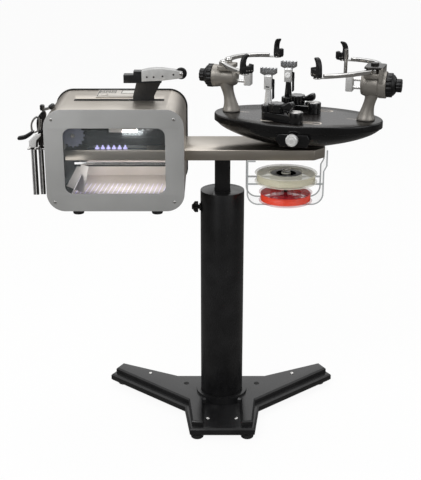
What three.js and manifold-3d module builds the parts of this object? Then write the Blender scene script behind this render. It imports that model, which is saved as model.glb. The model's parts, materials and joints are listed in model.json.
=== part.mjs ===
import * as THREE from "three";
import { mergeVertices } from "three/addons/utils/BufferGeometryUtils.js";
import Module from "manifold-3d";

// A racket stringing machine on its stand: a two-legged base with a column, a sliding mast, a steel
// rail with the tension head at one end, and a turntable with two towers and two string clamps.
// Millimetres. X points right, Y to the back, Z up. Heights are taken from the floor, and the whole
// machine is set down at the end so that the origin is under the base, on the column's axis.

const wasm = await Module();
wasm.setup();

// Shared clearances
const gap = 0.3;
const overrun = 3;
const sheet = 3;
const screwRadius = 4;

// Base casting and its feet
const footHeight = 14;
const footRadius = 17;
const footDish = 2;
const baseHalfSpan = 320;
const baseFront = 195;
const flangeHeight = 21;
const ridgeHeight = 15;
const castingBevel = 4;
const collarRadius = 70;
const collarHeight = 42;
const baseFloor = 6;
const frontFootX = 66;
const frontFootInset = 22;
const armFootInsetX = 36;
const armFootInsetY = 63;
const armFootX = baseHalfSpan - armFootInsetX;
const armFootY = baseFront - armFootInsetY;
const footprintShares = [[0, -1], [0.266, -1], [0.316, -0.364], [1, 0.61], [0.91, 0.856], [0.388, 0.43], [0, 0.43]];
const ridgeShares = [
  [0, -0.2], [0.16, -0.3], [0.16, -0.93], [0.25, -0.91], [0.285, -0.31], [0.955, 0.66], [0.9, 0.83], [0.385, 0.41], [0, 0.41],
];

// Column, mast and the knob that locks them
const columnRadius = 57.15;
const columnWall = 3.2;
const columnTop = 631;
const mastSide = 40;
const mastWall = 3;
const mastBottom = 330;
const sleeveWall = 2.5;
const sleeveDepth = 70;
const lockDrop = 47;
const lockStemRadius = 5;
const lockKnobRadius = 15;
const lockKnobLength = 17;
const lockBossRadius = 10;
const lockBossReach = 3;
const lockKnobStandoff = 3;

// Rail beam, which carries the tension head, the turntable and the reels
const railBottom = 728.5;
const railHeight = 26.5;
const railHalfDepth = 75;
const railLeft = -395;
const railRight = 258;
const railChamfer = 30;
const spindleRadius = 12;
const spindleHeight = 45;
const thrustRadius = 30;
const thrustHeight = 4;

// Tension head
const headLeft = -436;
const headRight = -95;
const headBottom = 613;
const headTop = 869;
const headFront = -130;
const headBack = 120;
const headCorner = 45;
const panelThickness = 4;
const windowSide = 46.5;
const windowBottom = 45;
const windowTop = 46;
const windowCorner = 20;
const paneLap = 6;
const slotLeft = -369;
const slotRight = -151;
const slotWidth = 12;
const pullerY = -13;
const inletWidth = 28;
const inletHeight = 21;
const inletDepth = 18;
const inletX = -160;
const inletZ = 665;
const socketWall = 2;

// Keypad on top of the tension head
const keypadLeft = -322;
const keypadWidth = 113;
const keypadFront = 15;
const keypadDepth = 87;
const keypadThickness = 3;
const buttonRadius = 9;
const buttonHeight = 3;
const buttonRecess = 2.5;
const buttonFloat = 1.2;
const buttonInset = 20;

// Inside the tension head
const trayFloor = 640;
const trayFloorLeft = -383;
const trayInset = 12;
const trayLegInset = 36;
const traySideHeight = 55;
const traySideLean = 28;
const trayBackTop = 722;
const traySlotFront = -90;
const traySlotMargin = 9;
const trayThickness = 2;
const traySlotCount = 14;
const traySlotWidth = 4;
const traySlotLength = 140;
const traySlotLean = 0.26;
const signLeft = -338;
const signWidth = 148;
const signHeight = 48;
const signThickness = 5;
const signY = -60;
const signFootDepth = 14;
const signFootHeight = 7;
const driveInset = 64;
const driveRise = 38;
const gearRadius = 30;
const gearTeeth = 16;
const toothDepth = 4;
const gearThickness = 6;
const gearFront = -80;
const pulleyRadius = 11;
const beltThickness = 3;
const beltWidth = 5;
const beltFront = -48;
const idlerX = -150;
const motorRadius = 24;
const motorLength = 60;
const motorFront = -26;
const shaftRadius = 4;
const frameTop = 824;
const frameThickness = 4;
const frameMargin = 26;
const guideSide = 10;
const guideBottom = 838;
const guideLeft = -390;
const guideRight = -141;
const guideEnd = 12;

// Puller that runs along the slot and grips the string
const carriageLeft = -230;
const carriageLength = 62;
const carriageHalfDepth = 14;
const carriageBottom = 830;
const carriageHeight = 26;
const neckThickness = 8;
const bracketBottomLeft = -225;
const bracketBottomRight = -172;
const neckHeight = 50;
const bracketKnee = carriageBottom + neckHeight;
const bracketSlope = 37;
const bracketTop = bracketKnee + bracketSlope;
const bracketTopLeft = -215;
const bracketTopRight = -153;
const gripBlockLeft = -247;
const gripBlockHeight = 17;
const gripBlockStep = 25;
const gripBlockRise = 9;
const gripperLeft = -202;
const gripperReach = 103;
const gripperHeight = 32;
const gripperHalfDepth = 14;
const wheelRadius = 14.3;
const wheelThickness = 10;
const wheelX = -104;
const wheelShare = 0.59375;
const wheelHeight = bracketTop + wheelShare * gripperHeight;
const wheelAxle = 3;
const tongueLength = 20;
const tongueThickness = 4;
const gripperShares = [[0, 0.02], [0, 0.84], [0.18, 0.96], [0.33, 1], [0.5, 1], [0.98, 0.8], [1, 0.6], [0.98, 0.28], [0.5, 0.08]];

// Turntable
const tableX = 189;
const tableTurn = THREE.MathUtils.degToRad(-17.4);
const tableLong = 216.5;
const tableWide = 125;
const tableTop = 827;
const rimHeight = 19.7;
const rimBevel = 3;
const hullBottom = 759.7;
const grooveDepth = 1.5;
const grooveWidth = 2.5;
const grooveLong = 78;
const grooveWide = 12;
const grooveV = 74;
const hullShares = [[0, 0.36, 0.46], [0.12, 0.5, 0.6], [0.4, 0.73, 0.8], [0.72, 0.9, 0.93], [1, 0.985, 0.985]];
const brakeU = 18;
const brakeDrop = 32;
const brakeHeight = tableTop - brakeDrop;
const brakeBlockWidth = 80;
const brakeBlockDepth = 30;
const brakeBlockDrop = 20;
const brakeKnobRadius = 15;
const brakeKnobLength = 12;
const brakeStemDepth = 18;
const brakeStandoff = 5;

// Towers, inner supports and their knobs, in the turntable's own directions
const towerU = 174;
const towerAxis = 917;
const barrelInner = 158;
const barrelOuter = 222;
const barrelRadius = 24;
const barrelFlange = 29;
const barrelFlangeLength = 28;
const rightBarrelRadius = 29.5;
const rightBarrelFlange = 33;
const rightFlangeLength = 18;
const towerLean = 16;
const footFlare = 23;
const waistRadius = 15;
const towerShares = [[0, 1, 0], [0.06, 1, 0], [0.2, 0.47, 0.05], [0.45, 0, 0.3], [0.7, 0.06, 0.65], [1, 0.7, 1]];
const capInner = 168;
const capLength = 47;
const capHalfWidth = 34;
const capThickness = 5;
const capBossLength = 22;
const capBossHalfWidth = 9;
const capBossHeight = 7;
const capHeelLength = 11;
const capWebHalfWidth = 4;
const saddleInner = 168;
const saddleLength = 35;
const saddleHalfWidth = 36;
const saddleHeight = 7;
const pinInset = 22;
const pinU = saddleInner + pinInset;
const pinV = 24;
const pinRadius = 5;
const supportInner = 122;
const supportLength = 17;
const supportHalfWidth = 11;
const supportHalfHeight = 18;
const rodRadius = 4;
const rodSpread = 10;
const rodEnd = 200;
const rodHoleEnd = 214;
const lengthKnobRadius = 30;
const lengthKnobLength = 22;
const armKnobRadius = 16.5;
const armKnobLength = 13.5;
const knobStemRadius = 5;
const knobStemLength = 5;
const smallStemRadius = 4;
const smallStemLength = 8;
const knobLobes = 14;
const knobLobeDepth = 1.5;
const smallKnobLobes = 10;

// Side arms and their hooks
const armThickness = 9.7;
const armWidth = 12;
const eyeRadius = 10;
const hookV = 138;
const farHookU = 88;
const leftNearHookU = 101;
const rightNearHookU = 76;
const farBendU = 206;
const farBendV = 132;
const nearBendU = 149;
const nearBendV = 105;
const hookStudRadius = 4;
const hookStudHeight = 8.3;
const armTongue = 3;
const hookRoom = 14;
const hookTurn = THREE.MathUtils.degToRad(45);
const hookReach = 33;
const hookHeight = 46.7;
const hookWidth = 12;
const hookShares = [
  [-0.34, 0], [0.55, 0], [0.66, 0.1], [0.66, 0.44], [0.44, 0.48], [0.37, 0.37], [0.07, 0.37],
  [0.02, 0.55], [0.1, 0.76], [0.28, 0.94], [0.16, 1], [-0.12, 0.9], [-0.3, 0.65], [-0.36, 0.32],
];

// String clamps: post and swing pin of each, in the turntable's own directions
const frontPostU = -60;
const frontPostV = -66;
const frontSwingU = 14;
const frontSwingV = -88;
const rearPostU = -35;
const rearPostV = 44;
const rearSwingU = 32;
const rearSwingV = 39;
const clampPlaces = [
  { name: "front_clamp", postU: frontPostU, postV: frontPostV, swingU: frontSwingU, swingV: frontSwingV },
  { name: "rear_clamp", postU: rearPostU, postV: rearPostV, swingU: rearSwingU, swingV: rearSwingV },
];
const clampBaseHeight = 21;
const clampBaseFloor = 5;
const clampHubRadius = 16;
const swingRadius = 20.5;
const swingHeight = 28;
const postRadius = 8;
const coneFootRadius = 9.5;
const coneHeadRadius = 6.5;
const postShoulder = 905;
const jawHeight = 51;
const jawTop = postShoulder + jawHeight;
const jawWidth = 41;
const jawRootWidth = 20;
const jawRootTop = postShoulder + 0.49 * jawHeight;
const jawShoulder = postShoulder + 0.686 * jawHeight;
const jawThickness = 5;
const jawGap = 2;
const jawTeeth = 5;
const jawToothDepth = 13;
const leverInner = 9;
const leverWidth = 5;
const leverDrop = 27;
const leverBottom = postShoulder - leverDrop;
const leverJoin = postShoulder + 0.196 * jawHeight;
const hingePinRadius = 1.8;
const hingePinEnd = 15.5;
const lugHalfWidth = 4;
const lugHalfHeight = 3;
const lugRoom = 5;
const lockHubRadius = 17;
const lockHubHeight = 16;
const lockHandleLength = 62;
const lockHandleWidth = 15;
const lockHandleLift = 8;
const lockHandleRise = 10;

// Reels and their tray
const trayLeft = 60;
const trayWall = 4;
const trayBottom = 612;
const trayRadius = 30;
const reelTrayFront = -75;
const reelTrayBack = -5;
const trayTab = 22;
const reelTrayWidth = 195;
const trayJoggle = 14;
const shelfBottom = 665;
const shelfThickness = 5;
const reelX = 160;
const reelY = -58;
const reelSpindleRadius = 5;
const reelSpindleTop = 704;
const reelSpindleFoot = 12;
const reelBore = 5.4;
const reelWidth = 24;
const reelFlange = 2;
const upperReelRadius = 79;
const lowerReelRadius = 68;
const upperWoundRadius = 74;
const lowerWoundRadius = 63.5;
const reelHubRadius = 45;
const reelHubWall = 5;
const stringRadius = 0.95;
const stringLoops = 6;
const loopSteps = 18;
const stringSides = 6;

// Starting clamps that hang beside the head
const holderHeight = 766;
const holderThickness = 3;
const holderLeft = -480;
const holderFront = -112;
const holderBack = -76;
const holderLip = 22;
const toolRadius = 6.2;
const toolNeckRadius = 4;
const toolBottom = 648;
const toolCollarHeight = 10;
const toolHeadRadius = 5.5;
const toolKnobRadius = 9;
const leftToolX = -468;
const leftToolY = -103;
const rightToolX = -449;
const rightToolY = -86;
const leftToolTop = 842;
const leverReach = 38;
const leverRise = 7;
const leverThickness = 9;
const rightToolShares = [[0, 0], [0, 0.45], [0.18, 0.78], [0.75, 1]];
const rightToolReach = 32;
const rightToolRise = 105;

// Heights and places that follow
const castingBottom = footHeight + gap;
const flangeTop = castingBottom + flangeHeight;
const collarTop = castingBottom + collarHeight;
const columnFoot = castingBottom + baseFloor;
const railTop = railBottom + railHeight;
const lockHeight = columnTop - lockDrop;
const driveX = headLeft + driveInset;
const driveHeight = railTop + driveRise;
const mastTop = railBottom - gap;
const headWidth = headRight - headLeft;
const headHeight = headTop - headBottom;
const headX = (headLeft + headRight) / 2;
const headZ = (headBottom + headTop) / 2;
const wrapFront = headFront + panelThickness + gap;
const wrapBack = headBack - panelThickness - gap;
const windowWidth = headWidth - 2 * windowSide;
const windowHeight = headHeight - windowBottom - windowTop;
const windowZ = headZ + (windowBottom - windowTop) / 2;
const armBottom = towerAxis + barrelRadius + saddleHeight + gap;
const armTop = armBottom + armThickness;
const clampBottom = tableTop + gap;
const clampBaseTop = clampBottom + clampBaseHeight;
const spindleTop = railTop + spindleHeight;

// Materials
const finish = (color, roughness, metalness) => new THREE.MeshStandardMaterial({ color, roughness, metalness });
const blackPaint = finish(0x1c1c1d, 0.45, 0.1);
const blackPlastic = finish(0x18181a, 0.4, 0);
const steel = finish(0xb9b5b0, 0.3, 1);
const greyPaint = finish(0xa3a5a6, 0.5, 0.2);
const castAluminium = finish(0x8d8c89, 0.45, 0.7);
const chrome = finish(0xdadada, 0.1, 1);
const clearSheet = new THREE.MeshStandardMaterial({
  color: 0xe6ecec, roughness: 0.1, metalness: 0, transparent: true, opacity: 0.3,
});
const palePaint = finish(0xdedbe0, 0.5, 0.1);
const rubber = finish(0x141414, 0.8, 0);
const creamString = finish(0xe6e2c8, 0.35, 0);
const redString = finish(0xe8452c, 0.35, 0);
const redHub = finish(0x7d1526, 0.4, 0);
const clearSpool = finish(0xe4e2d6, 0.2, 0);

// Solids
function solidOf(geometry) {
  const bare = geometry.index ? geometry.toNonIndexed() : geometry.clone();
  bare.deleteAttribute("normal");
  bare.deleteAttribute("uv");
  const merged = mergeVertices(bare, 1e-4);
  return new wasm.Manifold(new wasm.Mesh({
    numProp: 3,
    vertProperties: new Float32Array(merged.attributes.position.array),
    triVerts: new Uint32Array(merged.index.array),
  }));
}

function geometryOf(solid) {
  const { vertProperties, triVerts, numProp } = solid.getMesh();
  const positions = new Float32Array(triVerts.length * 3);
  triVerts.forEach((vertex, corner) => {
    for (let axis = 0; axis < 3; axis += 1) positions[corner * 3 + axis] = vertProperties[vertex * numProp + axis];
  });
  const geometry = new THREE.BufferGeometry();
  geometry.setAttribute("position", new THREE.BufferAttribute(positions, 3));
  geometry.computeVertexNormals();
  return geometry;
}

const join = (first, ...rest) => rest.reduce((whole, piece) => whole.add(piece), first);
const cut = (first, ...tools) => tools.reduce((whole, tool) => whole.subtract(tool), first);

function piece(name, solid, material) {
  const mesh = new THREE.Mesh(geometryOf(solid), material);
  mesh.name = name;
  return mesh;
}

// A box between two corners
function block(x0, x1, y0, y1, z0, z1) {
  const geometry = new THREE.BoxGeometry(x1 - x0, y1 - y0, z1 - z0);
  return solidOf(geometry.translate((x0 + x1) / 2, (y0 + y1) / 2, (z0 + z1) / 2));
}

// A flat outline raised from one height to another, with an optional bevel on both rims
function prism(shape, z0, z1, bevel = 0) {
  const geometry = new THREE.ExtrudeGeometry(shape, {
    depth: z1 - z0 - 2 * bevel,
    bevelEnabled: bevel > 0,
    bevelThickness: bevel,
    bevelSize: bevel,
    bevelOffset: -bevel,
    bevelSegments: 1,
    curveSegments: 5,
  });
  return solidOf(geometry.translate(0, 0, z0 + bevel));
}

// An outline drawn in X and Z, given its thickness from one Y to another
function sidePrism(shape, y0, y1, bevel = 0) {
  const solid = prism(shape, -y1, -y0, bevel);
  return solidOf(geometryOf(solid).rotateX(Math.PI / 2));
}

// A profile of radius and height, turned about the Z axis
function turned(profile, sides = 24) {
  const points = profile.map(([radius, height]) => new THREE.Vector2(radius, height));
  return solidOf(new THREE.LatheGeometry(points, sides).rotateX(Math.PI / 2));
}

// The same, turned about an axis along X or Y that runs through the origin
const alongX = (solid) => solidOf(geometryOf(solid).rotateY(Math.PI / 2));
const alongY = (solid) => solidOf(geometryOf(solid).rotateX(-Math.PI / 2));
const moved = (solid, x, y, z) => solidOf(geometryOf(solid).translate(x, y, z));
const spun = (solid, angle) => solidOf(geometryOf(solid).rotateZ(angle));

const rod = (radius, length, sides = 16) => turned([[0, 0], [radius, 0], [radius, length], [0, length]], sides);
const upright = (radius, x, y, z0, z1, sides) => moved(rod(radius, z1 - z0, sides), x, y, z0);
const rodX = (radius, x0, x1, y, z, sides) => moved(alongX(rod(radius, x1 - x0, sides)), x0, y, z);
const rodY = (radius, y0, y1, x, z, sides) => moved(alongY(rod(radius, y1 - y0, sides)), x, y0, z);

function outline(points) {
  return new THREE.Shape(points.map(([x, y]) => new THREE.Vector2(x, y)));
}

function roundedRectangle(width, height, radius, x = 0, y = 0) {
  const shape = new THREE.Shape();
  const right = x + width / 2 - radius;
  const left = x - width / 2 + radius;
  const top = y + height / 2 - radius;
  const bottom = y - height / 2 + radius;
  shape.absarc(right, bottom, radius, -Math.PI / 2, 0);
  shape.absarc(right, top, radius, 0, Math.PI / 2);
  shape.absarc(left, top, radius, Math.PI / 2, Math.PI);
  shape.absarc(left, bottom, radius, Math.PI, Math.PI * 1.5);
  return shape;
}

// A knob's rim with shallow lobes
function lobedShape(radius, depth, lobes) {
  const points = [];
  const steps = lobes * 2;
  for (let step = 0; step < steps; step += 1) {
    const reach = radius - (step % 2 ? depth : 0);
    const angle = (step / steps) * Math.PI * 2;
    points.push([reach * Math.cos(angle), reach * Math.sin(angle)]);
  }
  return outline(points);
}

// A closed skin through rings of equal point counts, the lowest first
function loft(rings) {
  const count = rings[0].length;
  const positions = rings.flat(2);
  const faces = [];
  for (let ring = 0; ring + 1 < rings.length; ring += 1) {
    for (let step = 0; step < count; step += 1) {
      const next = (step + 1) % count;
      const low = ring * count;
      const high = low + count;
      faces.push(low + step, low + next, high + next, low + step, high + next, high + step);
    }
  }
  const last = (rings.length - 1) * count;
  for (let step = 1; step + 1 < count; step += 1) {
    faces.push(0, step + 1, step, last, last + step, last + step + 1);
  }
  const geometry = new THREE.BufferGeometry();
  geometry.setAttribute("position", new THREE.Float32BufferAttribute(positions, 3));
  geometry.setIndex(faces);
  return solidOf(geometry);
}

function ellipseRing(halfLong, halfWide, centreX, z, count = 32) {
  return Array.from({ length: count }, (_, step) => {
    const angle = (step / count) * Math.PI * 2;
    return [centreX + halfLong * Math.cos(angle), halfWide * Math.sin(angle), z];
  });
}

// Stand
function mirrored(shares) {
  const right = shares.map(([x, y]) => [x * baseHalfSpan, y * baseFront]);
  const left = right.filter(([x]) => x > 0).reverse().map(([x, y]) => [-x, y]);
  return outline([...right, ...left]);
}

function baseCasting() {
  const flange = prism(mirrored(footprintShares), castingBottom, flangeTop, castingBevel);
  const ridge = prism(mirrored(ridgeShares), flangeTop - castingBevel, flangeTop + ridgeHeight, castingBevel);
  const collar = upright(collarRadius, 0, 0, flangeTop - castingBevel, collarTop, 32);
  const bore = upright(columnRadius + gap, 0, 0, columnFoot, collarTop + overrun, 32);
  return piece("base_casting", cut(join(flange, ridge, collar), bore), blackPaint);
}

function foot(name, x, y) {
  const profile = [
    [0, 0], [footRadius - footDish, 0], [footRadius, footDish],
    [footRadius, footHeight - footDish], [footRadius - footDish, footHeight], [0, footHeight],
  ];
  return piece(name, moved(turned(profile, 16), x, y, 0), rubber);
}

function columnTube() {
  const inside = columnRadius - columnWall;
  const tube = turned([
    [inside, columnFoot], [columnRadius, columnFoot], [columnRadius, columnTop],
    [inside, columnTop], [inside, columnFoot],
  ], 28);
  const hole = mastSide / 2 + 2 * gap;
  const sleeveSide = hole + sleeveWall;
  const lid = upright(inside + columnWall / 2, 0, 0, columnTop - sheet, columnTop, 28);
  const sleeve = block(-sleeveSide, sleeveSide, -sleeveSide, sleeveSide, columnTop - sleeveDepth, columnTop);
  const boss = rodX(lockBossRadius, -columnRadius - lockBossReach, -inside, 0, lockHeight, 20);
  const way = block(-hole, hole, -hole, hole, columnTop - sleeveDepth - overrun, columnTop + overrun);
  const stemWay = rodX(lockStemRadius + gap, -columnRadius - lockBossReach - overrun, 0, 0, lockHeight, 16);
  return piece("column_tube", cut(join(tube, lid, sleeve, boss), way, stemWay), blackPaint);
}

function lockKnob() {
  const face = -columnRadius - lockBossReach - lockKnobStandoff;
  const head = prism(lobedShape(lockKnobRadius, knobLobeDepth, smallKnobLobes), face - lockKnobLength, face, 1.5 * knobLobeDepth);
  const stem = rodX(lockStemRadius, face - lockKnobLength / 2, -mastSide / 2 - gap, 0, lockHeight, 16);
  return piece("column_lock_knob", join(moved(alongX(head), 0, 0, lockHeight), stem), blackPlastic);
}

// Mast and rail
function mastTube() {
  const outer = mastSide / 2;
  const inner = outer - mastWall;
  const tube = block(-outer, outer, -outer, outer, mastBottom, mastTop);
  const bore = block(-inner, inner, -inner, inner, mastBottom - overrun, mastTop + overrun);
  return piece("mast_tube", cut(tube, bore), blackPaint);
}

function railOutline(inset, left) {
  const right = railRight - inset;
  const side = railHalfDepth - inset;
  return outline([
    [left, -side], [right - railChamfer, -side], [right, -side + railChamfer],
    [right, side - railChamfer], [right - railChamfer, side], [left, side],
  ]);
}

function railBeam() {
  const box = prism(railOutline(0, railLeft), railBottom, railTop);
  const inside = prism(railOutline(sheet, railLeft - overrun), railBottom + sheet, railTop - sheet);
  const thrust = upright(thrustRadius, tableX, 0, railTop - sheet / 2, railTop + thrustHeight);
  const spindle = upright(spindleRadius, tableX, 0, railTop, spindleTop);
  return piece("rail_beam", join(cut(box, inside), thrust, spindle), steel);
}

// Tension head
const headShape = (inset) => roundedRectangle(
  headWidth - 2 * inset, headHeight - 2 * inset, headCorner - inset, headX, headZ,
);

function headCasing() {
  const wrap = sidePrism(headShape(0), wrapFront, wrapBack);
  const inside = sidePrism(headShape(sheet), wrapFront - overrun, wrapBack + overrun);
  const slot = block(
    slotLeft, slotRight, pullerY - slotWidth / 2, pullerY + slotWidth / 2, headTop - 2 * sheet, headTop + overrun,
  );
  const railWay = block(
    headRight - 2 * sheet, headRight + overrun, -railHalfDepth - 2 * gap, railHalfDepth + 2 * gap,
    railBottom - gap, railTop + 2 * gap,
  );
  return piece("head_casing", cut(wrap, inside, slot, railWay), steel);
}

function frontBezel() {
  const plate = sidePrism(headShape(0), headFront, headFront + panelThickness);
  const opening = roundedRectangle(windowWidth, windowHeight, windowCorner, headX, windowZ);
  const way = sidePrism(opening, headFront - overrun, headFront + panelThickness + overrun);
  return piece("front_bezel", cut(plate, way), greyPaint);
}

function windowPane() {
  const shape = roundedRectangle(
    windowWidth + 2 * paneLap, windowHeight + 2 * paneLap, windowCorner + paneLap, headX, windowZ,
  );
  return piece("window_pane", sidePrism(shape, wrapFront, wrapFront + sheet), clearSheet);
}

function rearPanel() {
  const plate = sidePrism(headShape(0), headBack - panelThickness, headBack);
  const outerX = inletWidth / 2 + socketWall;
  const outerZ = inletHeight / 2 + socketWall;
  const inward = headBack - inletDepth;
  const socket = block(
    inletX - outerX, inletX + outerX, inward - socketWall, headBack - panelThickness / 2, inletZ - outerZ, inletZ + outerZ,
  );
  const recess = block(
    inletX - inletWidth / 2, inletX + inletWidth / 2, inward, headBack + overrun,
    inletZ - inletHeight / 2, inletZ + inletHeight / 2,
  );
  return piece("rear_panel", cut(join(plate, socket), recess), blackPaint);
}

const keypadBottom = headTop + gap;
const keypadTop = keypadBottom + keypadThickness;
const buttonX = keypadLeft + buttonInset;
const buttonY = keypadFront + buttonInset;

function controlPanel() {
  const plate = prism(
    roundedRectangle(keypadWidth, keypadDepth, sheet, keypadLeft + keypadWidth / 2, keypadFront + keypadDepth / 2),
    keypadBottom, keypadTop,
  );
  const well = upright(buttonRadius + gap, buttonX, buttonY, keypadTop - buttonRecess, keypadTop + overrun);
  return piece("control_panel", cut(plate, well), palePaint);
}

function startButton() {
  const bottom = keypadTop - buttonRecess + buttonFloat;
  const cap = upright(buttonRadius, buttonX, buttonY, bottom, bottom + buttonHeight);
  return piece("start_button", cap, greyPaint);
}

function interiorTray() {
  const right = headRight - trayInset;
  const front = wrapFront + 2 * sheet;
  const back = wrapBack - inletDepth;
  const floorTop = trayFloor + trayThickness;
  const floor = block(trayFloorLeft, right, front, back, trayFloor, floorTop);
  const wall = block(trayFloorLeft, right, back - trayThickness, back, trayFloor, trayBackTop);
  const side = sidePrism(outline([
    [trayFloorLeft, trayFloor], [trayFloorLeft + trayThickness, trayFloor],
    [trayFloorLeft + trayThickness + traySideLean, trayFloor + traySideHeight],
    [trayFloorLeft + traySideLean, trayFloor + traySideHeight],
  ]), front, back);
  const legs = [trayFloorLeft + trayLegInset, right - trayLegInset].map((x) => (
    block(x, x + trayThickness, front, back, headBottom + sheet + gap, floorTop)
  ));
  const lean = traySlotLength * traySlotLean;
  const pitch = (right - trayFloorLeft - lean - 2 * traySlotMargin) / traySlotCount;
  const slots = Array.from({ length: traySlotCount }, (_, index) => {
    const x = trayFloorLeft + traySlotMargin + pitch * index;
    const shape = outline([
      [x, traySlotFront], [x + traySlotWidth, traySlotFront],
      [x + traySlotWidth + lean, traySlotFront + traySlotLength], [x + lean, traySlotFront + traySlotLength],
    ]);
    return prism(shape, trayFloor - overrun, floorTop + overrun);
  });
  return piece("interior_tray", cut(join(floor, wall, side, ...legs), ...slots), palePaint);
}

function lightSign() {
  const bottom = railTop + gap;
  const plate = block(
    signLeft, signLeft + signWidth, signY - signThickness / 2, signY + signThickness / 2, bottom, bottom + signHeight,
  );
  const base = block(
    signLeft, signLeft + signWidth, signY - signFootDepth / 2, signY + signFootDepth / 2, bottom, bottom + signFootHeight,
  );
  return piece("light_sign", join(plate, base), clearSheet);
}

function gearShape() {
  const points = [];
  const root = gearRadius - toothDepth;
  const pitch = (Math.PI * 2) / gearTeeth;
  for (let tooth = 0; tooth < gearTeeth; tooth += 1) {
    [[-0.25, root], [-0.12, gearRadius], [0.12, gearRadius], [0.25, root]].forEach(([share, reach]) => {
      const angle = (tooth + share) * pitch;
      points.push([reach * Math.cos(angle), reach * Math.sin(angle)]);
    });
  }
  return outline(points);
}

function driveGear() {
  const wheel = moved(sidePrism(gearShape(), gearFront, gearFront + gearThickness), driveX, 0, driveHeight);
  const pulley = rodY(pulleyRadius, gearFront + gearThickness / 2, beltFront + beltWidth + gap, driveX, driveHeight);
  const bore = rodY(shaftRadius + gap, gearFront - overrun, motorFront, driveX, driveHeight);
  return piece("drive_gear", cut(join(wheel, pulley), bore), castAluminium);
}

function driveMotor() {
  const can = rodY(motorRadius, motorFront, motorFront + motorLength, driveX, driveHeight);
  const frame = block(
    driveX - frameMargin, idlerX + frameMargin, motorFront, motorFront + frameThickness, railTop + gap, frameTop,
  );
  const shaft = rodY(shaftRadius, gearFront - gap, motorFront + frameThickness, driveX, driveHeight, 16);
  const idler = rodY(pulleyRadius, beltFront - gap, motorFront + frameThickness, idlerX, driveHeight);
  return piece("drive_motor", join(can, frame, shaft, idler), blackPaint);
}

function driveBelt() {
  const loop = (radius) => roundedRectangle(
    idlerX - driveX + 2 * radius, 2 * radius, radius - gap / 3, (idlerX + driveX) / 2, driveHeight,
  );
  const inner = pulleyRadius + gap;
  const back = beltFront + beltWidth;
  const band = sidePrism(loop(inner + beltThickness), beltFront, back);
  const inside = sidePrism(loop(inner), beltFront - overrun, back + overrun);
  return piece("drive_belt", cut(band, inside), rubber);
}

function guideRail() {
  const half = guideSide / 2;
  const ceiling = headTop - sheet - gap;
  const bar = block(guideLeft, guideRight, pullerY - half, pullerY + half, guideBottom, guideBottom + guideSide);
  const ends = [guideLeft, guideRight - guideEnd].map((x) => (
    block(x, x + guideEnd, pullerY - half, pullerY + half, guideBottom, ceiling)
  ));
  return piece("guide_rail", join(bar, ...ends), steel);
}

// Puller
function pullerBracket() {
  const carriageTop = carriageBottom + carriageHeight;
  const carriageRight = carriageLeft + carriageLength;
  const carriage = block(
    carriageLeft, carriageRight, pullerY - carriageHalfDepth, pullerY + carriageHalfDepth, carriageBottom, carriageTop,
  );
  const half = guideSide / 2 + gap;
  const way = block(
    carriageLeft - overrun, carriageRight + overrun, pullerY - half, pullerY + half,
    guideBottom - gap, guideBottom + guideSide + gap,
  );
  const blade = sidePrism(outline([
    [bracketBottomLeft, carriageTop - overrun], [bracketBottomRight, carriageTop - overrun],
    [bracketBottomRight, bracketKnee], [bracketTopRight, bracketTop], [bracketTopLeft, bracketTop],
    [bracketBottomLeft, bracketKnee],
  ]), pullerY - neckThickness / 2, pullerY + neckThickness / 2);
  const shelf = block(
    bracketTopLeft, bracketTopRight, pullerY - gripperHalfDepth, pullerY + gripperHalfDepth, bracketTop - sheet, bracketTop,
  );
  const grip = block(
    gripBlockLeft, gripperLeft - gap, pullerY - gripperHalfDepth, pullerY + gripperHalfDepth,
    bracketTop - sheet, bracketTop + gripBlockHeight,
  );
  const step = block(
    gripBlockLeft + gripBlockStep, gripperLeft - gap, pullerY - gripperHalfDepth, pullerY + gripperHalfDepth,
    bracketTop, bracketTop + gripBlockHeight + gripBlockRise,
  );
  const beltTop = driveHeight + pulleyRadius + gap + beltThickness + gap;
  const middle = carriageLeft + carriageLength / 2;
  const tongue = join(
    block(
      middle - tongueLength / 2, middle + tongueLength / 2, beltFront, pullerY - carriageHalfDepth,
      beltTop, beltTop + tongueThickness,
    ),
    block(
      middle - tongueLength / 2, middle + tongueLength / 2, pullerY - carriageHalfDepth - tongueThickness,
      pullerY - carriageHalfDepth + gap, beltTop, carriageTop,
    ),
  );
  const whole = join(cut(join(carriage, tongue), way), blade, shelf, grip, step);
  return piece("puller_bracket", whole, blackPaint);
}

function gripperBody() {
  const points = gripperShares.map(([x, z]) => [
    gripperLeft + x * gripperReach, bracketTop + gap + z * gripperHeight,
  ]);
  const body = sidePrism(outline(points), pullerY - gripperHalfDepth, pullerY + gripperHalfDepth);
  const wheelWay = rodY(
    wheelRadius + 2 * gap, pullerY - wheelThickness / 2 - gap, pullerY + wheelThickness / 2 + gap, wheelX, wheelHeight, 32,
  );
  const axle = rodY(
    wheelAxle, pullerY - gripperHalfDepth, pullerY + gripperHalfDepth, wheelX, wheelHeight, 16,
  );
  return piece("gripper_body", join(cut(body, wheelWay), axle), greyPaint);
}

function gripperWheel() {
  const half = wheelThickness / 2;
  const wheel = turned([
    [wheelAxle + gap, -half], [wheelRadius, -half], [wheelRadius, half], [wheelAxle + gap, half], [wheelAxle + gap, -half],
  ]);
  return piece("gripper_wheel", moved(alongY(wheel), wheelX, pullerY, wheelHeight), blackPlastic);
}

// Turntable
function groove(v) {
  const ring = (inset) => prism(
    roundedRectangle(2 * (grooveLong - inset), 2 * (grooveWide - inset), grooveWide - inset - gap, 0, v),
    tableTop - grooveDepth, tableTop + overrun,
  );
  return cut(ring(0), ring(grooveWidth));
}

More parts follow.
